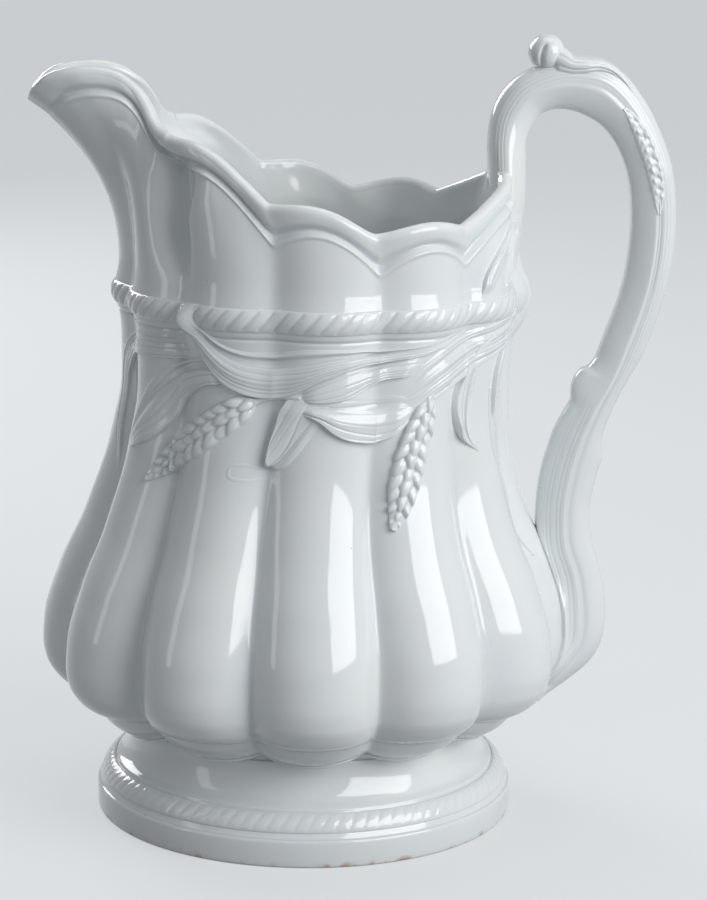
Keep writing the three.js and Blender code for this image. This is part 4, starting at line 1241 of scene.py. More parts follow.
@dataclass(frozen=True)
class Ear(Sprig):
    """A wheat ear: three rows of plump grains that overlap towards its tip, no two quite alike."""

    rise: float = 3.4
    along: int = 190
    over: int = 72
    pitch: float = 5.2                 # from grain to grain in one row
    grain_length: float = 9.6
    grain_width: float = 4.8
    splay: float = 27.0                # degrees that the side rows turn outwards
    body: float = 0.5                  # height of the stalk and husks under the grains, as a share
    passes: int = 3
    full_half: float = 5.6             # a narrower ear has smaller grains
    row_place: float = 0.53            # the side rows lie at this share of the half width
    taper: Pair = (0.4, 0.25)          # how a grain narrows towards its tip
    crease_mm: float = 0.14
    crease_half: float = 0.35

    def relief(self, along: np.ndarray, across: np.ndarray, half: np.ndarray) -> np.ndarray:
        """Lays the grains over each other on the husks.

        Args:
            along: millimetres along the line.
            across: millimetres from the line, to the right of the way it runs.
            half: half width at each point.

        Returns:
            Millimetres out from the body.
        """
        length = along.max()
        chance = np.random.default_rng(11)
        height = self.body * self.rise * np.sqrt(np.clip(1 - (across / (half * 0.97)) ** 2, 0, 1))
        for start in np.arange(self.pitch * 0.3, length - self.pitch * 0.2, self.pitch):
            for row in (-1, 1, 0):
                at = start + self.pitch * (0.5 if row == 0 else 0.12 * row) + chance.uniform(-0.7, 0.7)
                here = float(np.interp(at, along[:, 0], half[:, 0]))
                scale = min(max(here / self.full_half, 0.42), 1.15) * chance.uniform(0.9, 1.08)
                turn = math.radians(self.splay * row + chance.uniform(-9, 9))
                dx, dy = along - at, across - row * here * self.row_place
                forward = dx * math.cos(turn) + dy * math.sin(turn)
                sideways = dy * math.cos(turn) - dx * math.sin(turn)
                place = np.clip(forward / (self.grain_length * scale / 2), -1.2, 1.2)
                reach = self.grain_width * scale / 2 * (1 - self.taper[0] * place - self.taper[1] * place**2)
                inside = 1 - place**2 - (sideways / np.maximum(reach, 0.3)) ** 2
                lift = 0.84 + 0.16 * place + (0.14 if row == 0 else 0) + chance.uniform(-0.05, 0.05)
                grain = self.rise * scale**0.5 * lift * np.sqrt(np.clip(inside, 0, 1))
                crease = self.crease_mm * bell(sideways, 0.3 * row, self.crease_half) * (inside > 0.25)
                height = np.maximum(height, grain - crease)
        edge = ease(1 - np.abs(across / half), 0.0, 0.1)
        return soften(height * edge, self.passes)


def soften(height: np.ndarray, passes: int) -> np.ndarray:
    """Rounds a height map off as glaze does, by averaging neighbours.

    Args:
        height: the map.
        passes: how often to average.

    Returns:
        The softer map.
    """
    for _ in range(passes):
        padded = np.pad(height, 1, mode="edge")
        height = (4 * height + padded[:-2, 1:-1] + padded[2:, 1:-1]
                  + padded[1:-1, :-2] + padded[1:-1, 2:]) / 8
    return height


SPRIGS: tuple[Sprig | Blade, ...] = (
    Ear("wheat_ear_front", (
        (-20, 176, 0.8), (-22.4, 174, 4.4), (-28, 169, 6.6), (-37, 160.2, 7.2), (-45, 151.8, 5.8),
        (-50, 145.4, 3.4), (-53.2, 141, 1))),
    Ear("wheat_ear_back", (
        (31.4, 177.6, 0.8), (30.6, 174, 3.6), (29, 168.4, 5.8), (26.2, 157.5, 6.4), (24.2, 144.8, 6),
        (22.5, 136, 4.2), (20.5, 128.6, 1.2))),
    Blade("upper_leaf", (
        (30, 193.5), (17.2, 192.5), (5, 190), (-3.8, 184.5), (-9.5, 178)), (
        (25, 184.5), (19.5, 184), (14.5, 182.8), (10.5, 180.2), (7, 177.6), (0, 175.8), (-9, 176)),
        rise=1.8, lines=6, tip=0.2),
    Blade("lower_leaf", (
        (-10, 175), (-2, 177.5), (8, 180.5), (16, 180.5), (22, 179.5), (27.5, 176)), (
        (-9.5, 174), (-6.5, 171), (-3.5, 170), (-1, 168.2), (2, 164.8), (5, 162.5), (8.4, 161), (12, 160.2),
        (15.5, 160.3), (19, 161.4), (22.5, 164.4), (26, 170)),
        rise=2.6, lines=8, root=0.2, tip=0.2, folds=((0.34, 0.1, -0.6), (0.62, 0.1, 0.45))),
    Blade("hanging_leaf", (
        (4.5, 179), (1.5, 172.5), (-0.8, 168), (-3.6, 162.5), (-6.2, 157), (-9.4, 152), (-14.6, 148.6)), (
        (-9.6, 181), (-11.4, 176), (-12.8, 172), (-13.6, 166.5), (-14.7, 161), (-16, 156), (-16.6, 150.5)),
        rise=2.3, lines=5, root=0.3, folds=((0.13, 0.1, 0.6), (0.45, 0.14, -0.1))),
    Blade("ribbon_leaf", (
        (-37, 210), (-37.8, 205), (-35.8, 201.4), (-32.8, 198.4), (-29, 195.8), (-23.2, 194), (-15, 194),
        (-4.8, 196), (6.2, 196), (18.5, 195.4), (31, 197), (46, 201)), (
        (-45, 209), (-43, 203.8), (-39.8, 198.6), (-36.2, 191.8), (-32.8, 185.8), (-29, 181.2),
        (-25.2, 178.6), (-21.4, 177), (-16.2, 176.6), (-10.5, 177.6), (-6.4, 180.4), (-2.6, 183.6),
        (1, 185.6), (5, 187.8), (11, 189.8), (18, 190.8), (31, 193.4), (46, 198.4)),
        rise=2.7, lines=11, tip=0.2, lift=4.2,
        folds=((0.09, 0.06, 0.9), (0.3, 0.09, -0.55), (0.62, 0.12, 0.3))),
    Blade("front_leaf", (
        (-26, 188.5), (-29.8, 190.2), (-36, 190.4), (-43, 188.8), (-49.2, 186.2), (-54.2, 182), (-59, 176.6),
        (-63, 169.8), (-66.4, 160.2), (-68, 149.5)), (
        (-26.5, 181.5), (-30, 180.8), (-34.4, 179.6), (-38.4, 177.2), (-42.4, 173.8), (-45, 170),
        (-47, 165.4), (-50.2, 160), (-55, 155), (-67, 149)),
        rise=2.5, lines=7, root=0.12, tip=0.3, folds=((0.1, 0.07, 0.8), (0.5, 0.1, 0.5), (0.3, 0.1, -0.4))),
    Blade("stem_bundle", (
        (84, 211), (72, 206), (58, 202), (46, 199.8), (37, 196.6), (31, 192.6), (26, 188), (21.5, 182.4)), (
        (84, 194), (72, 191), (60, 188.6), (50, 184.2), (41, 179.8), (33.8, 175.4), (27.4, 171),
        (23.5, 170.5)),
        rise=2.2, lines=9, line_depth=0.38, root=0.04, tip=0.3,
        folds=((0.16, 0.07, 0.8), (0.42, 0.08, 0.7), (0.7, 0.08, 0.6))),
    Blade("hooked_leaf", (
        (63, 198), (56, 193), (53, 187.5), (51.4, 182.5), (50.4, 177), (49.2, 171.5), (48.6, 166),
        (49.2, 160.5), (51, 155.5), (55, 151)), (
        (56.5, 198), (50.5, 193), (46.8, 187), (43.6, 181), (41.4, 176), (40.8, 171), (42, 165.6),
        (44.6, 160.4), (48.4, 155.4), (55, 150)),
        rise=2.4, lines=5, folds=((0.14, 0.1, 1.1), (0.5, 0.12, 0.35))),
    Blade("pointed_leaf", (
        (76, 201), (71.5, 192), (68, 184), (65, 176), (61.6, 166), (59.6, 161.5)), (
        (69, 200), (63.6, 192), (60, 184.5), (58.6, 177), (58.4, 169.5), (59.3, 161.5)),
        rise=2.0, lines=3, folds=((0.2, 0.12, 0.7),)),
    Blade("spout_leaf", (
        (-41, 197.4), (-52, 196.4), (-64, 195.6), (-76, 193), (-84, 184), (-85.6, 170), (-84, 155),
        (-80, 141), (-77.6, 130)), (
        (-40, 188), (-50, 187), (-62, 186), (-71, 184.4), (-77.4, 178), (-79, 167), (-78.6, 155),
        (-77.4, 142), (-77, 130.6)),
        rise=1.1, lines=7, root=0.12, tip=0.2, line_depth=0.15, folds=((0.12, 0.1, 0.35),)),
    Stem("long_stem", (
        (57.4, 176, 0.8), (58, 166.5, 0.9), (59.8, 154.5, 1.0), (63.5, 142, 1.0), (70.5, 127, 0.9),
        (76.5, 114, 0.8), (79.5, 104, 0.5)), rise=1.4),
    Stem("ear_stem", (
        (-7, 177.6, 1.2), (-13, 177.6, 1.5), (-18.5, 176.4, 1.7), (-23.5, 172.4, 1.6)), rise=1.9),
    Stem("tendril", (
        (-10.8, 148.8, 0.5), (-16.2, 146.8, 0.9), (-21.6, 146.2, 1.0), (-25, 147.6, 1.0), (-25, 150.6, 1.0),
        (-21.8, 152, 0.9), (-17.4, 150.8, 0.7), (-13.5, 150.4, 0.4)), rise=0.55),
    Blade("neck_leaf_long", (
        (76, 236), (70.5, 231), (65, 225), (60, 218.6), (54, 211)), (
        (68, 237), (61, 231.5), (55.5, 225.6), (51.6, 219), (49.6, 211)),
        rise=1.8, lines=4, folds=((0.75, 0.12, 0.4),)),
    Blade("neck_leaf_short", (
        (82.5, 235), (79, 229), (74.5, 221.5), (68, 213)), (
        (76.5, 235), (71.5, 229), (66.5, 221.5), (61.5, 212.4)),
        rise=1.7, lines=3, folds=((0.75, 0.12, 0.4),)),
)


# Handle

def line_length(line: np.ndarray) -> float:
    """Returns the length of a line in the mirror plane."""
    return np.linalg.norm(np.diff(line[:, :2], axis=0), axis=1).sum()


def away_from(line: np.ndarray) -> np.ndarray:
    """Returns the unit steps outward from a line in the mirror plane."""
    run = unit(np.gradient(line[:, :2], axis=0))
    return np.stack([-run[:, 1], run[:, 0]], -1)


def swept(line: np.ndarray, outward: np.ndarray, reach: np.ndarray, across: np.ndarray) -> np.ndarray:
    """Sets rows of points about a line in the mirror plane.

    Args:
        line: the line's points, with x and z first.
        outward: unit steps away from the line.
        reach: millimetres along those steps.
        across: millimetres towards the far side.

    Returns:
        One row of points for each point of the line.
    """
    x = line[:, :1] + outward[:, :1] * reach
    z = line[:, 1:2] + outward[:, 1:2] * reach
    return np.stack(np.broadcast_arrays(x, across, z), -1)


@dataclass(frozen=True)
class Handle:
    """The loop handle: one limb from the rim over the top and down to the belly, with two buds."""

    form: BodyForm
    width: float = 19.0
    steps: int = 560
    columns: int = 192
    root_length: float = 41.3          # it runs over the rope by this before its shares start
    ridge_at: float = 0.1              # ridge along the flat side, as a share out from the middle
    groove_places: tuple[float, ...] = (0.3, 0.46, 0.62, 0.76)
    flute_places: tuple[float, ...] = (0.04, -0.2, -0.34, -0.56, -0.68)
    stem_places: tuple[float, ...] = (0.1, 0.22)
    full: float = 0.97                 # widest share of the half width
    arris: float = 0.28                # the inner side narrows by this
    hollow: float = 0.045              # and each flat side is hollowed by this
    root_swell: float = 4.5            # it flares by this where it meets the belly
    root_reach: float = 3.0
    root_top: float = 160.0
    rim_swell: float = 5.0             # and by this where the rim runs up into it
    rim_foot: Pair = (216.0, 246.0)    # that flare grows between these heights
    rim_heights: Pair = (250.0, 279.0)   # and fades between these
    rim_reach: Pair = (82.0, 88.0)     # it ends this far from the body's axis
    bud_power: float = 1.6             # how the buds die out round the section
    top_spread: float = 0.5            # it is wider by these shares at its upper
    foot_spread: float = 0.35          # and its lower end
    stations: tuple[Triple, ...] = (
        (75.6, 188, 5), (77.4, 196, 12), (78.6, 205, 14.4), (76.6, 214, 12), (75.3, 223, 10.8),
        (75.4, 232, 12), (75.6, 243, 13.8), (74.9, 255.3, 14.6), (74.9, 265.9, 14.9),
        (77, 273.6, 16.4), (82.2, 280.9, 17.2), (90.9, 284.8, 17.9), (100.5, 285.6, 20.2),
        (110.2, 283.1, 21.8), (118.9, 275.5, 19.1), (125.5, 265.2, 17.6), (130.2, 252.9, 17.6),
        (132.2, 239.4, 17.6), (132.3, 225.8, 17.6), (130.7, 212.1, 17.4), (127.8, 200.3, 17),
        (122.4, 184.5, 17.2), (117.8, 172.5, 16.8), (111.5, 160.6, 18.3), (105.1, 144.5, 18.3),
        (102.1, 132.5, 19.6), (100.5, 120.3, 19.2), (101.3, 106.1, 20.2), (105.3, 93.9, 21.4),
        (107.2, 81.6, 23.0), (106.6, 67.2, 21.8), (99.5, 56.8, 17.1), (91.5, 48.5, 11), (84, 42.5, 5),
    )
    inner_bud: tuple[Pair, ...] = (
        (0.574, 0), (0.587, 1.2), (0.597, 3.2), (0.606, 3.4), (0.617, 2.6), (0.632, 0.1), (0.65, 0.7),
        (0.669, 1.4), (0.7, 1.1), (0.757, 0.8), (0.82, 0),
    )
    outer_bud: tuple[Pair, ...] = (
        (0.55, 0), (0.597, -1.9), (0.634, -1.6), (0.655, -0.6), (0.669, 1.2), (0.68, 2.3), (0.69, 2.1),
        (0.705, 1.5), (0.738, 1.3), (0.765, 1.5), (0.83, 0),
    )

    def line(self) -> np.ndarray:
        """Returns the centre line's points: x, z and depth."""
        return thread(self.stations, self.steps, (1, 1))

    def shares(self, line: np.ndarray) -> np.ndarray:
        """Returns each point's share of the way from the rim to the belly, below 0 on the root."""
        length = line_length(line)
        return (np.linspace(0, length, len(line)) - self.root_length) / (length - self.root_length)

    def section(self, turn: np.ndarray, share: np.ndarray) -> tuple[np.ndarray, np.ndarray]:
        """Draws the section, with its arris inside and its modelled lines.

        Args:
            turn: radians round the section, 0 at the inner side.
            share: place along the handle, 0 at the rim to 1 at the belly.

        Returns:
            Shares of the half depth outward and of the half width sideways.
        """
        out, sine = -np.cos(turn), np.sin(turn)
        face = np.sign(sine) * np.abs(sine) ** np.where(out < 0, 0.6, 0.8)
        full = self.full - self.arris * np.clip(-out - 0.02, 0, 1) * ease(share, 0.06, 0.2)
        full = full - self.hollow * bell(out, 0.16, 0.12) * ease(share, 0.1, 0.3)
        # Places of the lines, their depth and half width, and how far they show along the handle.
        lines = (
            (self.groove_places, 0.015, 0.03, (1 - ease(share, 0.56, 0.64)) * ease(share, 0.0, 0.1)),
            (self.flute_places, 0.015, 0.034, ease(share, 0.6, 0.66) * (1 - 0.7 * ease(share, 0.9, 1))),
            (self.stem_places, 0.03, 0.03, ease(share, 0.37, 0.39) * (1 - ease(share, 0.46, 0.5))),
        )
        for places, depth, half, shown in lines:
            full = full - depth * shown * sum(bell(out, place, half) for place in places)
        return out, face * full

    def surface(self) -> Surface:
        """Draws the limb with its buds and its flared ends.

        Returns:
            The handle as one closed skin.
        """
        line = self.line()
        share = self.shares(line)[:, None]
        turn = np.linspace(0, 2 * math.pi, self.columns, endpoint=False)[None, :]
        out, side = self.section(turn, share)
        reach = out * line[:, 2:3] / 2
        reach = reach - Profile(self.inner_bud)(share) * np.clip(-out, 0, 1) ** self.bud_power
        reach = reach + Profile(self.outer_bud)(share) * np.clip(out, 0, 1) ** self.bud_power
        facing = ease(out, -1.0, 0.1)
        spread = 1 + self.top_spread * (1 - ease(share, -0.06, 0.08)) * facing
        spread = spread + self.foot_spread * ease(share, 0.8, 1)
        points = swept(line, away_from(line), reach, side * self.width / 2 * spread)
        return Surface.skin(self.flared(points, facing)).outward()

    def dress(self, bench: Bench) -> None:
        """Glazes the handle with the body."""
        bench.place("loop_handle", self.surface(), Slot.BODY, ["handle"])

    def flared(self, points: np.ndarray, facing: np.ndarray) -> np.ndarray:
        """Flares the limb where it nears the body, as slip smoothed into the joint does.

        Args:
            points: the limb's points.
            facing: 0 at its inner side, rising to 1 at its flat sides and its back.

        Returns:
            The flared points.
        """
        x, y, z = points[..., 0], points[..., 1], points[..., 2]
        angle = np.degrees(np.arctan2(x - self.form.lean_reach, -y))
        wall = self.form.outside(np.clip(angle, 30, 150), np.clip(z, 50, 262))
        apart = np.hypot(x, y) - np.hypot(wall[..., 0], wall[..., 1])
        root = self.root_swell * np.exp(-np.clip(apart, 0, None) / self.root_reach)
        rim = self.rim_swell * (1 - ease(z, *self.rim_heights)) ** 1.3 * facing
        rim = rim * (1 - ease(x, *self.rim_reach)) * ease(z, *self.rim_foot)
        moved = points.copy()
        moved[..., 1] += np.where(z < self.root_top, root, rim) * np.sign(y) * np.clip(np.abs(y) / 8, 0, 1)
        return moved


@dataclass(frozen=True)
class ThumbScroll:
    """The thumb rest: a leaf that runs along the handle's back and curls over into a round roll."""

    roll_x: float = 89.2
    roll_z: float = 297.7
    roll_radius: float = 7.0
    roll_half: float = 8.0
    roll_fullness: float = 0.72        # the lower, the flatter its ends
    crease_place: float = -2.6         # the curl's crease crosses the ends here
    crease_curve: float = 0.05
    crease_half: float = 0.85
    crease_share: float = 0.2          # and is this deep, as a share of the roll's half length
    lobe_share: float = 0.06           # the curl's rounded end beside it stands out by this
    leaf_stations: tuple[Triple, ...] = (
        (87.5, 293.5, 3.0), (90.2, 294.6, 5.0), (93, 295.2, 5.4), (98.2, 293.3, 3.9), (103, 293.2, 3.3),
        (108.2, 293.4, 2.7), (113.4, 291.9, 2.1), (118.4, 287.8, 1.8), (123.2, 281.4, 1.6),
        (127.8, 274.6, 1.3), (129.6, 270, 0.6),
    )
    leaf_halves: tuple[Pair, ...] = (
        (0, 3.6), (0.1, 7.8), (0.2, 9.4), (0.3, 9.8), (0.39, 9.0), (0.49, 8.0), (0.61, 7.4), (0.76, 7.0),
        (1, 5.4),
    )
    leaf_rows: int = 120
    leaf_columns: int = 72
    rows: int = 72
    columns: int = 96

    def roll(self) -> Surface:
        """Draws the round roll, with the curl's crease down each end.

        Returns:
            The closed roll.
        """
        turn = np.linspace(0, 2 * math.pi, self.columns, endpoint=False)[None, :]
        across = np.linspace(0, math.pi, self.rows + 2)[1:-1][:, None]
        radius = np.sin(across) ** self.roll_fullness
        x = self.roll_radius * radius * np.cos(turn)
        z = self.roll_radius * radius * np.sin(turn)
        crease = bell(x - self.crease_curve * (z + 2) ** 2, self.crease_place, self.crease_half)
        crease = crease * ease(z, 4.6, 1.6) * ease(radius, 0.0, 0.1)
        lobe = bell(x, 1.2, 2.8) * bell(z, -1.0, 4.4)
        y = -np.cos(across) * self.roll_half * (1 - self.crease_share * crease + self.lobe_share * lobe)
        return Surface.skin(np.stack([self.roll_x + x, y, self.roll_z + z], -1)).outward()

    def leaf(self) -> Surface:
        """Draws the leaf behind the roll, which fades into the handle's back.

        Returns:
            The closed leaf.
        """
        line = thread(self.leaf_stations, self.leaf_rows, (1, 1))
        share = np.linspace(0, 1, self.leaf_rows)[:, None]
        turn = np.linspace(0, 2 * math.pi, self.leaf_columns, endpoint=False)[None, :]
        half = Profile(self.leaf_halves)(share) * np.sqrt(np.clip(1 - share**6, 0.02, 1))
        out, sine = -np.cos(turn), np.sin(turn)
        half = half * (1 - 0.05 * bell(np.abs(out), 0.35, 0.1))
        side = np.sign(sine) * np.abs(sine) ** np.where(out < 0, 0.3, 0.75) * half
        reach = line[:, 2:3] * out * (1 - 0.12 * bell(sine, 0, 0.12) * (out > 0))
        return Surface.skin(swept(line, away_from(line), reach, side)).outward()

    def surface(self) -> Surface:
        """Returns roll and leaf together."""
        return Surface.joined([self.roll(), self.leaf()])

    def dress(self, bench: Bench) -> None:
        """Glazes the thumb rest with the handle."""
        bench.place("thumb_rest", self.surface(), Slot.BODY, ["thumb_scroll"])


@dataclass(frozen=True)
class HandleEar:
    """A small wheat ear in relief on each flat side of the handle."""

    handle: Handle
    ear: Ear = Ear("handle_ear", (), rise=1.7, border=0.2, buried=1.5, along=150, over=44, pitch=4.4,
                   grain_length=7.4, grain_width=4.6, splay=20.0, body=0.42, passes=4)
    start: float = 0.27                # shares of the way along the handle
    end: float = 0.395
    half: float = 4.3

    def surface(self) -> Surface:
        """Lays the ear along the handle's ridge.

        Returns:
            The near side's ear as a closed patch.
        """
        handle, ear = self.handle, self.ear
        line = handle.line()
        share = np.linspace(self.start, self.end, ear.along)
        places = handle.shares(line)
        centre, away = (np.stack([np.interp(share, places, column) for column in rows.T], -1)
                        for rows in (line, away_from(line)))
        shape = np.linspace(0, 1, ear.along)
        half = np.clip(np.sin(math.pi * np.clip(shape, 0.02, 0.98)), 0.05, 1)[:, None] ** 0.5 * self.half
        across = np.linspace(-1, 1, ear.over)[None, :] * half
        along = shape[:, None] * (self.end - self.start) * line_length(line) + 0 * across
        rise = ear.relief(along, across, half) * ease(1 - np.abs(across) / half, 0, 0.45) - ear.border
        depth = centre[:, 2:3] / 2
        out = handle.ridge_at + across / depth
        side = handle.section(np.arccos(np.clip(-out, -1, 1)), share[:, None])[1]
        face = swept(centre, away, out * depth, -side * handle.width / 2 - rise)
        return Surface.skin(np.concatenate([face, face[:, [-1, 0]] + (0, ear.buried, 0)], 1)).outward()

    def dress(self, bench: Bench, side: Side) -> None:
        """Lays the ear on one side of the handle under the glaze."""
        bench.place(f"grain_ear_{side.value}", self.surface().on(side), Slot.RELIEF,
                    [f"{self.ear.name}_{side.value}"])


# Finishes

def linear(colour: str) -> tuple[float, float, float, float]:
    """Turns an sRGB hex colour into linear light.

    Args:
        colour: six hex digits after a hash.

    Returns:
        Red, green, blue and alpha.
    """
    values = [int(colour[i:i + 2], 16) / 255 for i in (1, 3, 5)]
    light = [v / 12.92 if v <= 0.04045 else ((v + 0.055) / 1.055) ** 2.4 for v in values]
    return (*light, 1.0)


def add_node(
    tree: bpy.types.NodeTree, kind: str, inputs: dict[str | int, object] | None = None, **settings: object
) -> bpy.types.Node:
    """Adds one shader node with its settings, values and links.

    Args:
        tree: the node tree.
        kind: the node's type, without the words ShaderNode that each starts with.
        inputs: value or source socket for each input, by name or number.
        settings: attributes of the node.

    Returns:
        The node.
    """
    node = tree.nodes.new("ShaderNode" + kind)
    for name, value in settings.items():
        setattr(node, name, value)
    for key, value in (inputs or {}).items():
        if isinstance(value, bpy.types.NodeSocket):
            tree.links.new(value, node.inputs[key])
        else:
            node.inputs[key].default_value = value
    return node


def new_material(name: str) -> tuple[bpy.types.Material, bpy.types.NodeTree, bpy.types.Node]:
    """Starts a material.

    Args:
        name: the material's name.

    Returns:
        Material, node tree and Principled shader.
    """
    material = bpy.data.materials.new(name)
    material.use_nodes = True
    tree = material.node_tree
    tree.nodes.clear()
    shader = add_node(tree, "BsdfPrincipled")
    add_node(tree, "OutputMaterial", {"Surface": shader.outputs["BSDF"]})
    return material, tree, shader


@dataclass(frozen=True)
class IronstoneGlaze:
    """Dense white ironstone clay, dipped in a clear lead glaze that cobalt tints faintly blue.

    The eye gets a cool white with crisp window reflections that waver a little, a bluer, darker tone
    in the hollows, partly thick glaze and partly painted shade, tiny dark specks and pinholes.
    """

    name: str = "ironstone_glaze"
    white: str = "#DCE2E6"
    # tone of the hollows: a bluer thick glaze, darkened further as painted shade
    hollow_glaze_and_shade: str = "#AFBCC4"
    thin: str = "#E3E5E3"
    speck: str = "#8A8378"
    rust_brown: str = "#B08A5E"
    roughness: float = 0.075
    roughness_drift: Pair = (0.8, 1.3)  # shares of it where the glaze is thick and thin
    ior: float = 1.52
    hollow_shade_share: float = 0.5               # share of the hollow tone, thick glaze and painted shade, in a full hollow
    drift_mm: float = 45.0             # the glaze runs thicker and thinner over this distance
    wave_mm: float = 14.0
    wave_depth_mm: float = 0.035
    peel_mm: float = 2.2
    peel_depth_mm: float = 0.0035
    speck_cell_mm: float = 11.0
    speck_mm: float = 0.32
    speck_free: float = 0.72           # share of the cells that have no speck
    pinhole_mm: float = 0.06
    rust_mm: float = 7.0
    rust_levels: Pair = (0.52, 0.64)   # noise where the blots start and are full
    rust_heights_mm: Pair = (2.6, 0.2)   # it starts at the first and is full at the second
    stain: bool = False

    def material(self) -> bpy.types.Material:
        """Mixes the glaze: its colour from the clay up, then its wavering surface.

        Returns:
            The material.
        """
        material, tree, shader = new_material(self.name)
        place = add_node(tree, "TexCoord").outputs["Object"]
        hollow = add_node(tree, "Attribute", attribute_name="hollow").outputs["Fac"]
        drift = add_node(tree, "TexNoise", {
            "Vector": place, "Scale": METRE / self.drift_mm, "Detail": 3.0}).outputs[0]
        # The hollow mask mixes in the darker hollow tone: partly thick glaze, partly painted shade in grooves
        # and creases.
        glaze_and_shade_mix = add_node(tree, "Math", {0: hollow, 1: self.hollow_shade_share}, operation="MULTIPLY").outputs[0]
        speck = self.specks(tree, place)
        colour = linear(self.white)
        # Mix has sockets of one name per data type, so colours go in by number.
        for share, above in ((drift, self.thin), (glaze_and_shade_mix, self.hollow_glaze_and_shade), (speck, self.speck)):
            colour = add_node(tree, "Mix", {0: share, 6: colour, 7: linear(above)},
                              data_type="RGBA").outputs[2]
        if self.stain:
            colour = self.rust(tree, place, colour)
        normal = {}
        wave, peel = (add_node(tree, "TexNoise", {
            "Vector": place, "Scale": METRE / size, "Detail": 1.0, "Roughness": 0.4}).outputs[0]
            for size in (self.wave_mm, self.peel_mm))
        for height, depth, sunk in ((wave, self.wave_depth_mm, False), (peel, self.peel_depth_mm, False),
                                    (speck, self.pinhole_mm, True)):
            bump = add_node(tree, "Bump", {
                "Height": height, "Distance": depth * MM, "Strength": 1.0, **normal}, invert=sunk)
            normal = {"Normal": bump.outputs[0]}
        rough = add_node(tree, "MapRange", {
            "Value": drift, "To Min": self.roughness * self.roughness_drift[0],
            "To Max": self.roughness * self.roughness_drift[1]})
        shader.inputs["IOR"].default_value = self.ior
        tree.links.new(colour, shader.inputs["Base Color"])
        tree.links.new(rough.outputs[0], shader.inputs["Roughness"])
        tree.links.new(normal["Normal"], shader.inputs["Normal"])
        return material

    def specks(self, tree: bpy.types.NodeTree, place: bpy.types.NodeSocket) -> bpy.types.NodeSocket:
        """Scatters the specks that the kiln leaves, in about one cell of four.

        Args:
            tree: the material's node tree.
            place: object coordinates.

        Returns:
            1 on a speck and 0 beside it.
        """
        cells = add_node(tree, "TexVoronoi", {"Vector": place, "Scale": METRE / self.speck_cell_mm})
        radius = self.speck_mm / self.speck_cell_mm
        dot = add_node(tree, "MapRange", {
            "Value": cells.outputs["Distance"], "From Min": radius, "From Max": radius * 0.4}, clamp=True)
        pick = add_node(tree, "SeparateColor", {0: cells.outputs["Color"]})
        few = add_node(tree, "Math", {0: pick.outputs[0], 1: self.speck_free}, operation="GREATER_THAN")
        return add_node(tree, "Math", {0: dot.outputs[0], 1: few.outputs[0]}, operation="MULTIPLY").outputs[0]

    def rust(
        self, tree: bpy.types.NodeTree, place: bpy.types.NodeSocket, under: bpy.types.NodeSocket
    ) -> bpy.types.NodeSocket:
        """Adds the brown specks where iron has stained the worn bottom edge.

        Args:
            tree: the material's node tree.
            place: object coordinates.
            under: the colour beneath.

        Returns:
            The stained colour.
        """
        height = add_node(tree, "SeparateXYZ", {0: place}).outputs[2]
        start, full = self.rust_heights_mm
        low = add_node(tree, "MapRange", {
            "Value": height, "From Min": start * MM, "From Max": full * MM}, clamp=True)
        blot = add_node(tree, "TexNoise", {"Vector": place, "Scale": METRE / self.rust_mm, "Detail": 4.0})
        patches = add_node(tree, "MapRange", {
            "Value": blot.outputs[0], "From Min": self.rust_levels[0],
            "From Max": self.rust_levels[1]}, clamp=True)
        share = add_node(tree, "Math", {0: low.outputs[0], 1: patches.outputs[0]}, operation="MULTIPLY")
        return add_node(tree, "Mix", {0: share.outputs[0], 6: under, 7: linear(self.rust_brown)},
                        data_type="RGBA").outputs[2]


@dataclass(frozen=True)
class BareIronstone:
    """The unglazed ring that the pitcher stands on: fired clay, wiped clean and ground flat.

    The eye gets a matt warm white with a fine grit.
    """

    name: str = "bare_ironstone"
    clay: str = "#DDD3C2"
    dirt: str = "#A98F6C"
    roughness: float = 0.82
    grit_mm: float = 1.1
    grit_depth_mm: float = 0.08
    dirt_mm: float = 9.0
    dirt_levels: Pair = (0.48, 0.72)   # noise where the dirt starts and is full

    def material(self) -> bpy.types.Material:
        """Mixes the bare clay with the dirt that a table leaves on it.

        Returns:
            The material.
        """
        material, tree, shader = new_material(self.name)
        place = add_node(tree, "TexCoord").outputs["Object"]
        grit = add_node(tree, "TexNoise", {"Vector": place, "Scale": METRE / self.grit_mm, "Detail": 3.0})
        blot = add_node(tree, "TexNoise", {"Vector": place, "Scale": METRE / self.dirt_mm, "Detail": 4.0})
        share = add_node(tree, "MapRange", {
            "Value": blot.outputs[0], "From Min": self.dirt_levels[0],
            "From Max": self.dirt_levels[1]}, clamp=True)
        colour = add_node(tree, "Mix", {
            0: share.outputs[0], 6: linear(self.clay), 7: linear(self.dirt)}, data_type="RGBA")
        bump = add_node(tree, "Bump", {"Height": grit.outputs[0], "Distance": self.grit_depth_mm * MM})
        shader.inputs["Roughness"].default_value = self.roughness
        tree.links.new(colour.outputs[2], shader.inputs["Base Color"])
        tree.links.new(bump.outputs[0], shader.inputs["Normal"])
        return material


# Studio

@dataclass(frozen=True)
class Lamp:
    """A soft rectangular studio lamp, aimed at the pitcher's middle."""

    name: str
    place: Triple
    size: Pair
    power: float

    def light(self, aim: Vector) -> None:
        """Adds the lamp to the scene.

        Args:
            aim: the point that it shines at, in metres.
        """
        data = bpy.data.lights.new(self.name, "AREA")
        data.shape = "RECTANGLE"
        data.size, data.size_y = self.size
        data.energy = self.power
        lamp = bpy.data.objects.new(self.name, data)
        lamp.location = self.place
        lamp.rotation_euler = (aim - Vector(self.place)).to_track_quat("-Z", "Y").to_euler()
        bpy.context.scene.collection.objects.link(lamp)


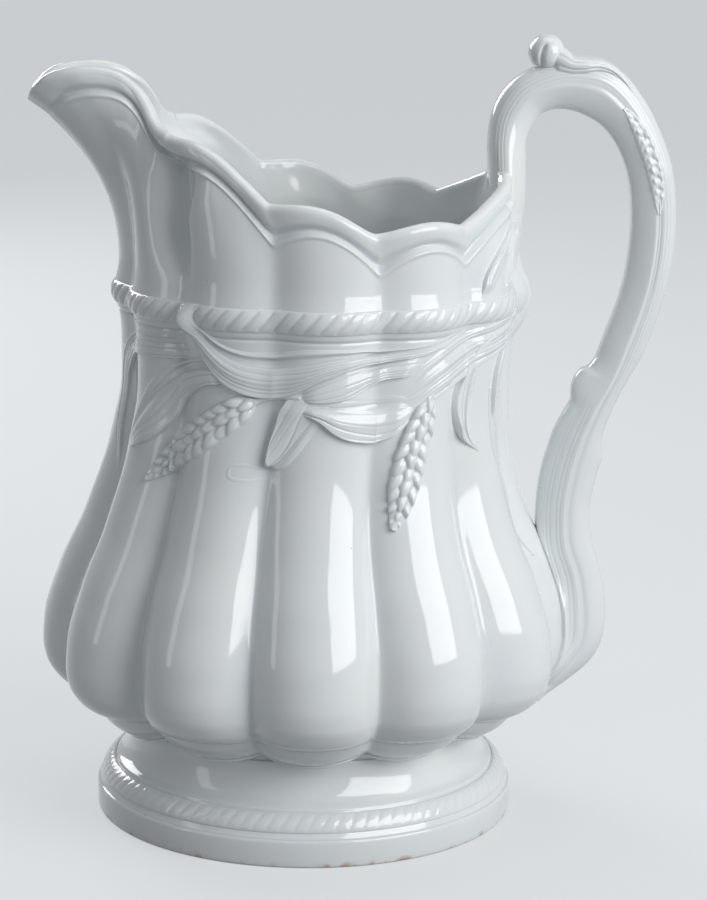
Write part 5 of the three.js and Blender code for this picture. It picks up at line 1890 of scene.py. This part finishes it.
@dataclass(frozen=True)
class Studio:
    """A plain pale floor, soft lamps and the camera at the photograph's angle."""

    axis_x: float
    azimuth: float = -2.4              # degrees that the camera stands round from straight on
    distance: float = 1125.0
    height: float = 389.0
    pitch: float = 12.36
    yaw: float = 0.91
    roll: float = 0.87
    focal_px: float = 2950.0
    sensor: float = 36.0
    clip_start: float = 0.05           # metres
    aim_height: float = 0.16           # the lamps point here, in metres
    floor_half: float = 6.0
    floor_colour: str = "#85888A"
    floor_roughness: float = 0.85
    backdrop_colour: str = "#C8CBCE"
    backdrop_share: float = 0.85       # how much of the floor's paleness is its own
    world_light: float = 0.34
    lamps: tuple[Lamp, ...] = (
        Lamp("window_right", (1.05, -0.95, 0.8), (1.25, 1.05), 21.0),
        Lamp("strip_left", (-1.25, -0.45, 0.55), (0.22, 0.9), 1.1),
        Lamp("overhead", (0.1, 0.2, 1.5), (0.8, 0.8), 3.5),
        Lamp("window_back", (-0.75, 1.3, 0.85), (0.7, 0.9), 11.0),
    )

    def camera(self) -> None:
        """Sets the camera where the photograph was taken from."""
        azimuth, pitch, yaw, roll = (math.radians(a) for a in (self.azimuth, self.pitch, self.yaw, self.roll))
        back = Vector((math.sin(azimuth), -math.cos(azimuth), 0))
        side = Vector((math.cos(azimuth), math.sin(azimuth), 0))
        top = Vector((0, 0, 1))
        ahead = -back * math.cos(yaw) + side * math.sin(yaw)
        level = side * math.cos(yaw) + back * math.sin(yaw)
        forward = ahead * math.cos(pitch) - top * math.sin(pitch)
        tall = top * math.cos(pitch) + ahead * math.sin(pitch)
        right = level * math.cos(roll) + tall * math.sin(roll)
        up = tall * math.cos(roll) - level * math.sin(roll)
        data = bpy.data.cameras.new("camera")
        data.sensor_width = self.sensor
        data.sensor_fit = "AUTO"
        data.lens = self.focal_px * self.sensor / PHOTO_HEIGHT
        data.clip_start = self.clip_start
        camera = bpy.data.objects.new("camera", data)
        place = back * self.distance * MM + Vector((self.axis_x, 0, self.height * MM))
        turn = Matrix((right, up, -forward)).transposed()
        camera.matrix_world = Matrix.Translation(place) @ turn.to_4x4()
        bpy.context.scene.collection.objects.link(camera)
        bpy.context.scene.camera = camera

    def seen(self, tree: bpy.types.NodeTree) -> bpy.types.NodeSocket:
        """Tells what is looked at from where light only bounces.

        Args:
            tree: the node tree of the floor or the world.

        Returns:
            1 for the camera, a reflection or a transmission, and 0 for bounced light.
        """
        path = add_node(tree, "LightPath")
        seen = path.outputs["Is Camera Ray"]
        for ray in ("Is Glossy Ray", "Is Transmission Ray"):
            seen = add_node(tree, "Math", {0: seen, 1: path.outputs[ray]}, operation="MAXIMUM").outputs[0]
        return seen

    def floor(self) -> None:
        """Lays the floor: matt painted board, which the eye reads as plain and pale."""
        material, tree, shader = new_material("painted_board")
        shader.inputs["Base Color"].default_value = linear(self.floor_colour)
        shader.inputs["Roughness"].default_value = self.floor_roughness
        shader.inputs["Emission Color"].default_value = linear(self.backdrop_colour)
        pale = add_node(tree, "Math", {0: self.seen(tree), 1: self.backdrop_share}, operation="MULTIPLY")
        tree.links.new(pale.outputs[0], shader.inputs["Emission Strength"])
        half = self.floor_half
        corners = [(-half, -half, 0), (half, -half, 0), (half, half, 0), (-half, half, 0)]
        mesh = bpy.data.meshes.new("floor")
        mesh.from_pydata(corners, [], [(0, 1, 2, 3)])
        mesh.materials.append(material)
        floor = bpy.data.objects.new("floor", mesh)
        bpy.context.scene.collection.objects.link(floor)

    def build(self) -> None:
        """Sets up camera, floor, lamps, world and plain view settings."""
        self.camera()
        self.floor()
        aim = Vector((self.axis_x, 0, self.aim_height))
        for lamp in self.lamps:
            lamp.light(aim)
        world = bpy.data.worlds.new("studio")
        world.use_nodes = True
        tree = world.node_tree
        tree.nodes.clear()
        strength = add_node(tree, "MapRange", {
            "Value": self.seen(tree), "To Min": self.world_light, "To Max": 1.0})
        sky = add_node(tree, "Background", {
            "Color": linear(self.backdrop_colour), "Strength": strength.outputs[0]})
        add_node(tree, "OutputWorld", {"Surface": sky.outputs[0]})
        bpy.context.scene.world = world
        bpy.context.scene.view_settings.view_transform = "Standard"


def main() -> None:
    """Builds the pitcher piece by piece and sets the studio round it."""
    logging.basicConfig(level=logging.INFO, format="%(name)s: %(message)s")
    low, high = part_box("foot")
    axis_x = (low[0] + high[0]) / 2
    Studio(axis_x).build()
    form, foot = BodyForm(), Foot()
    handle = Handle(form)
    bench = Bench(form, axis_x, IronstoneGlaze().material(),
                  IronstoneGlaze("ironstone_foot_glaze", stain=True).material(), BareIronstone().material())
    for assembly in (Vessel(form), NeckRope(form), foot, FootRope(foot), handle, ThumbScroll()):
        assembly.dress(bench)
    for side in Side:
        for relief in (HandleEar(handle), *SPRIGS):
            relief.dress(bench, side)


if __name__ == "__main__":
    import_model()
    main()
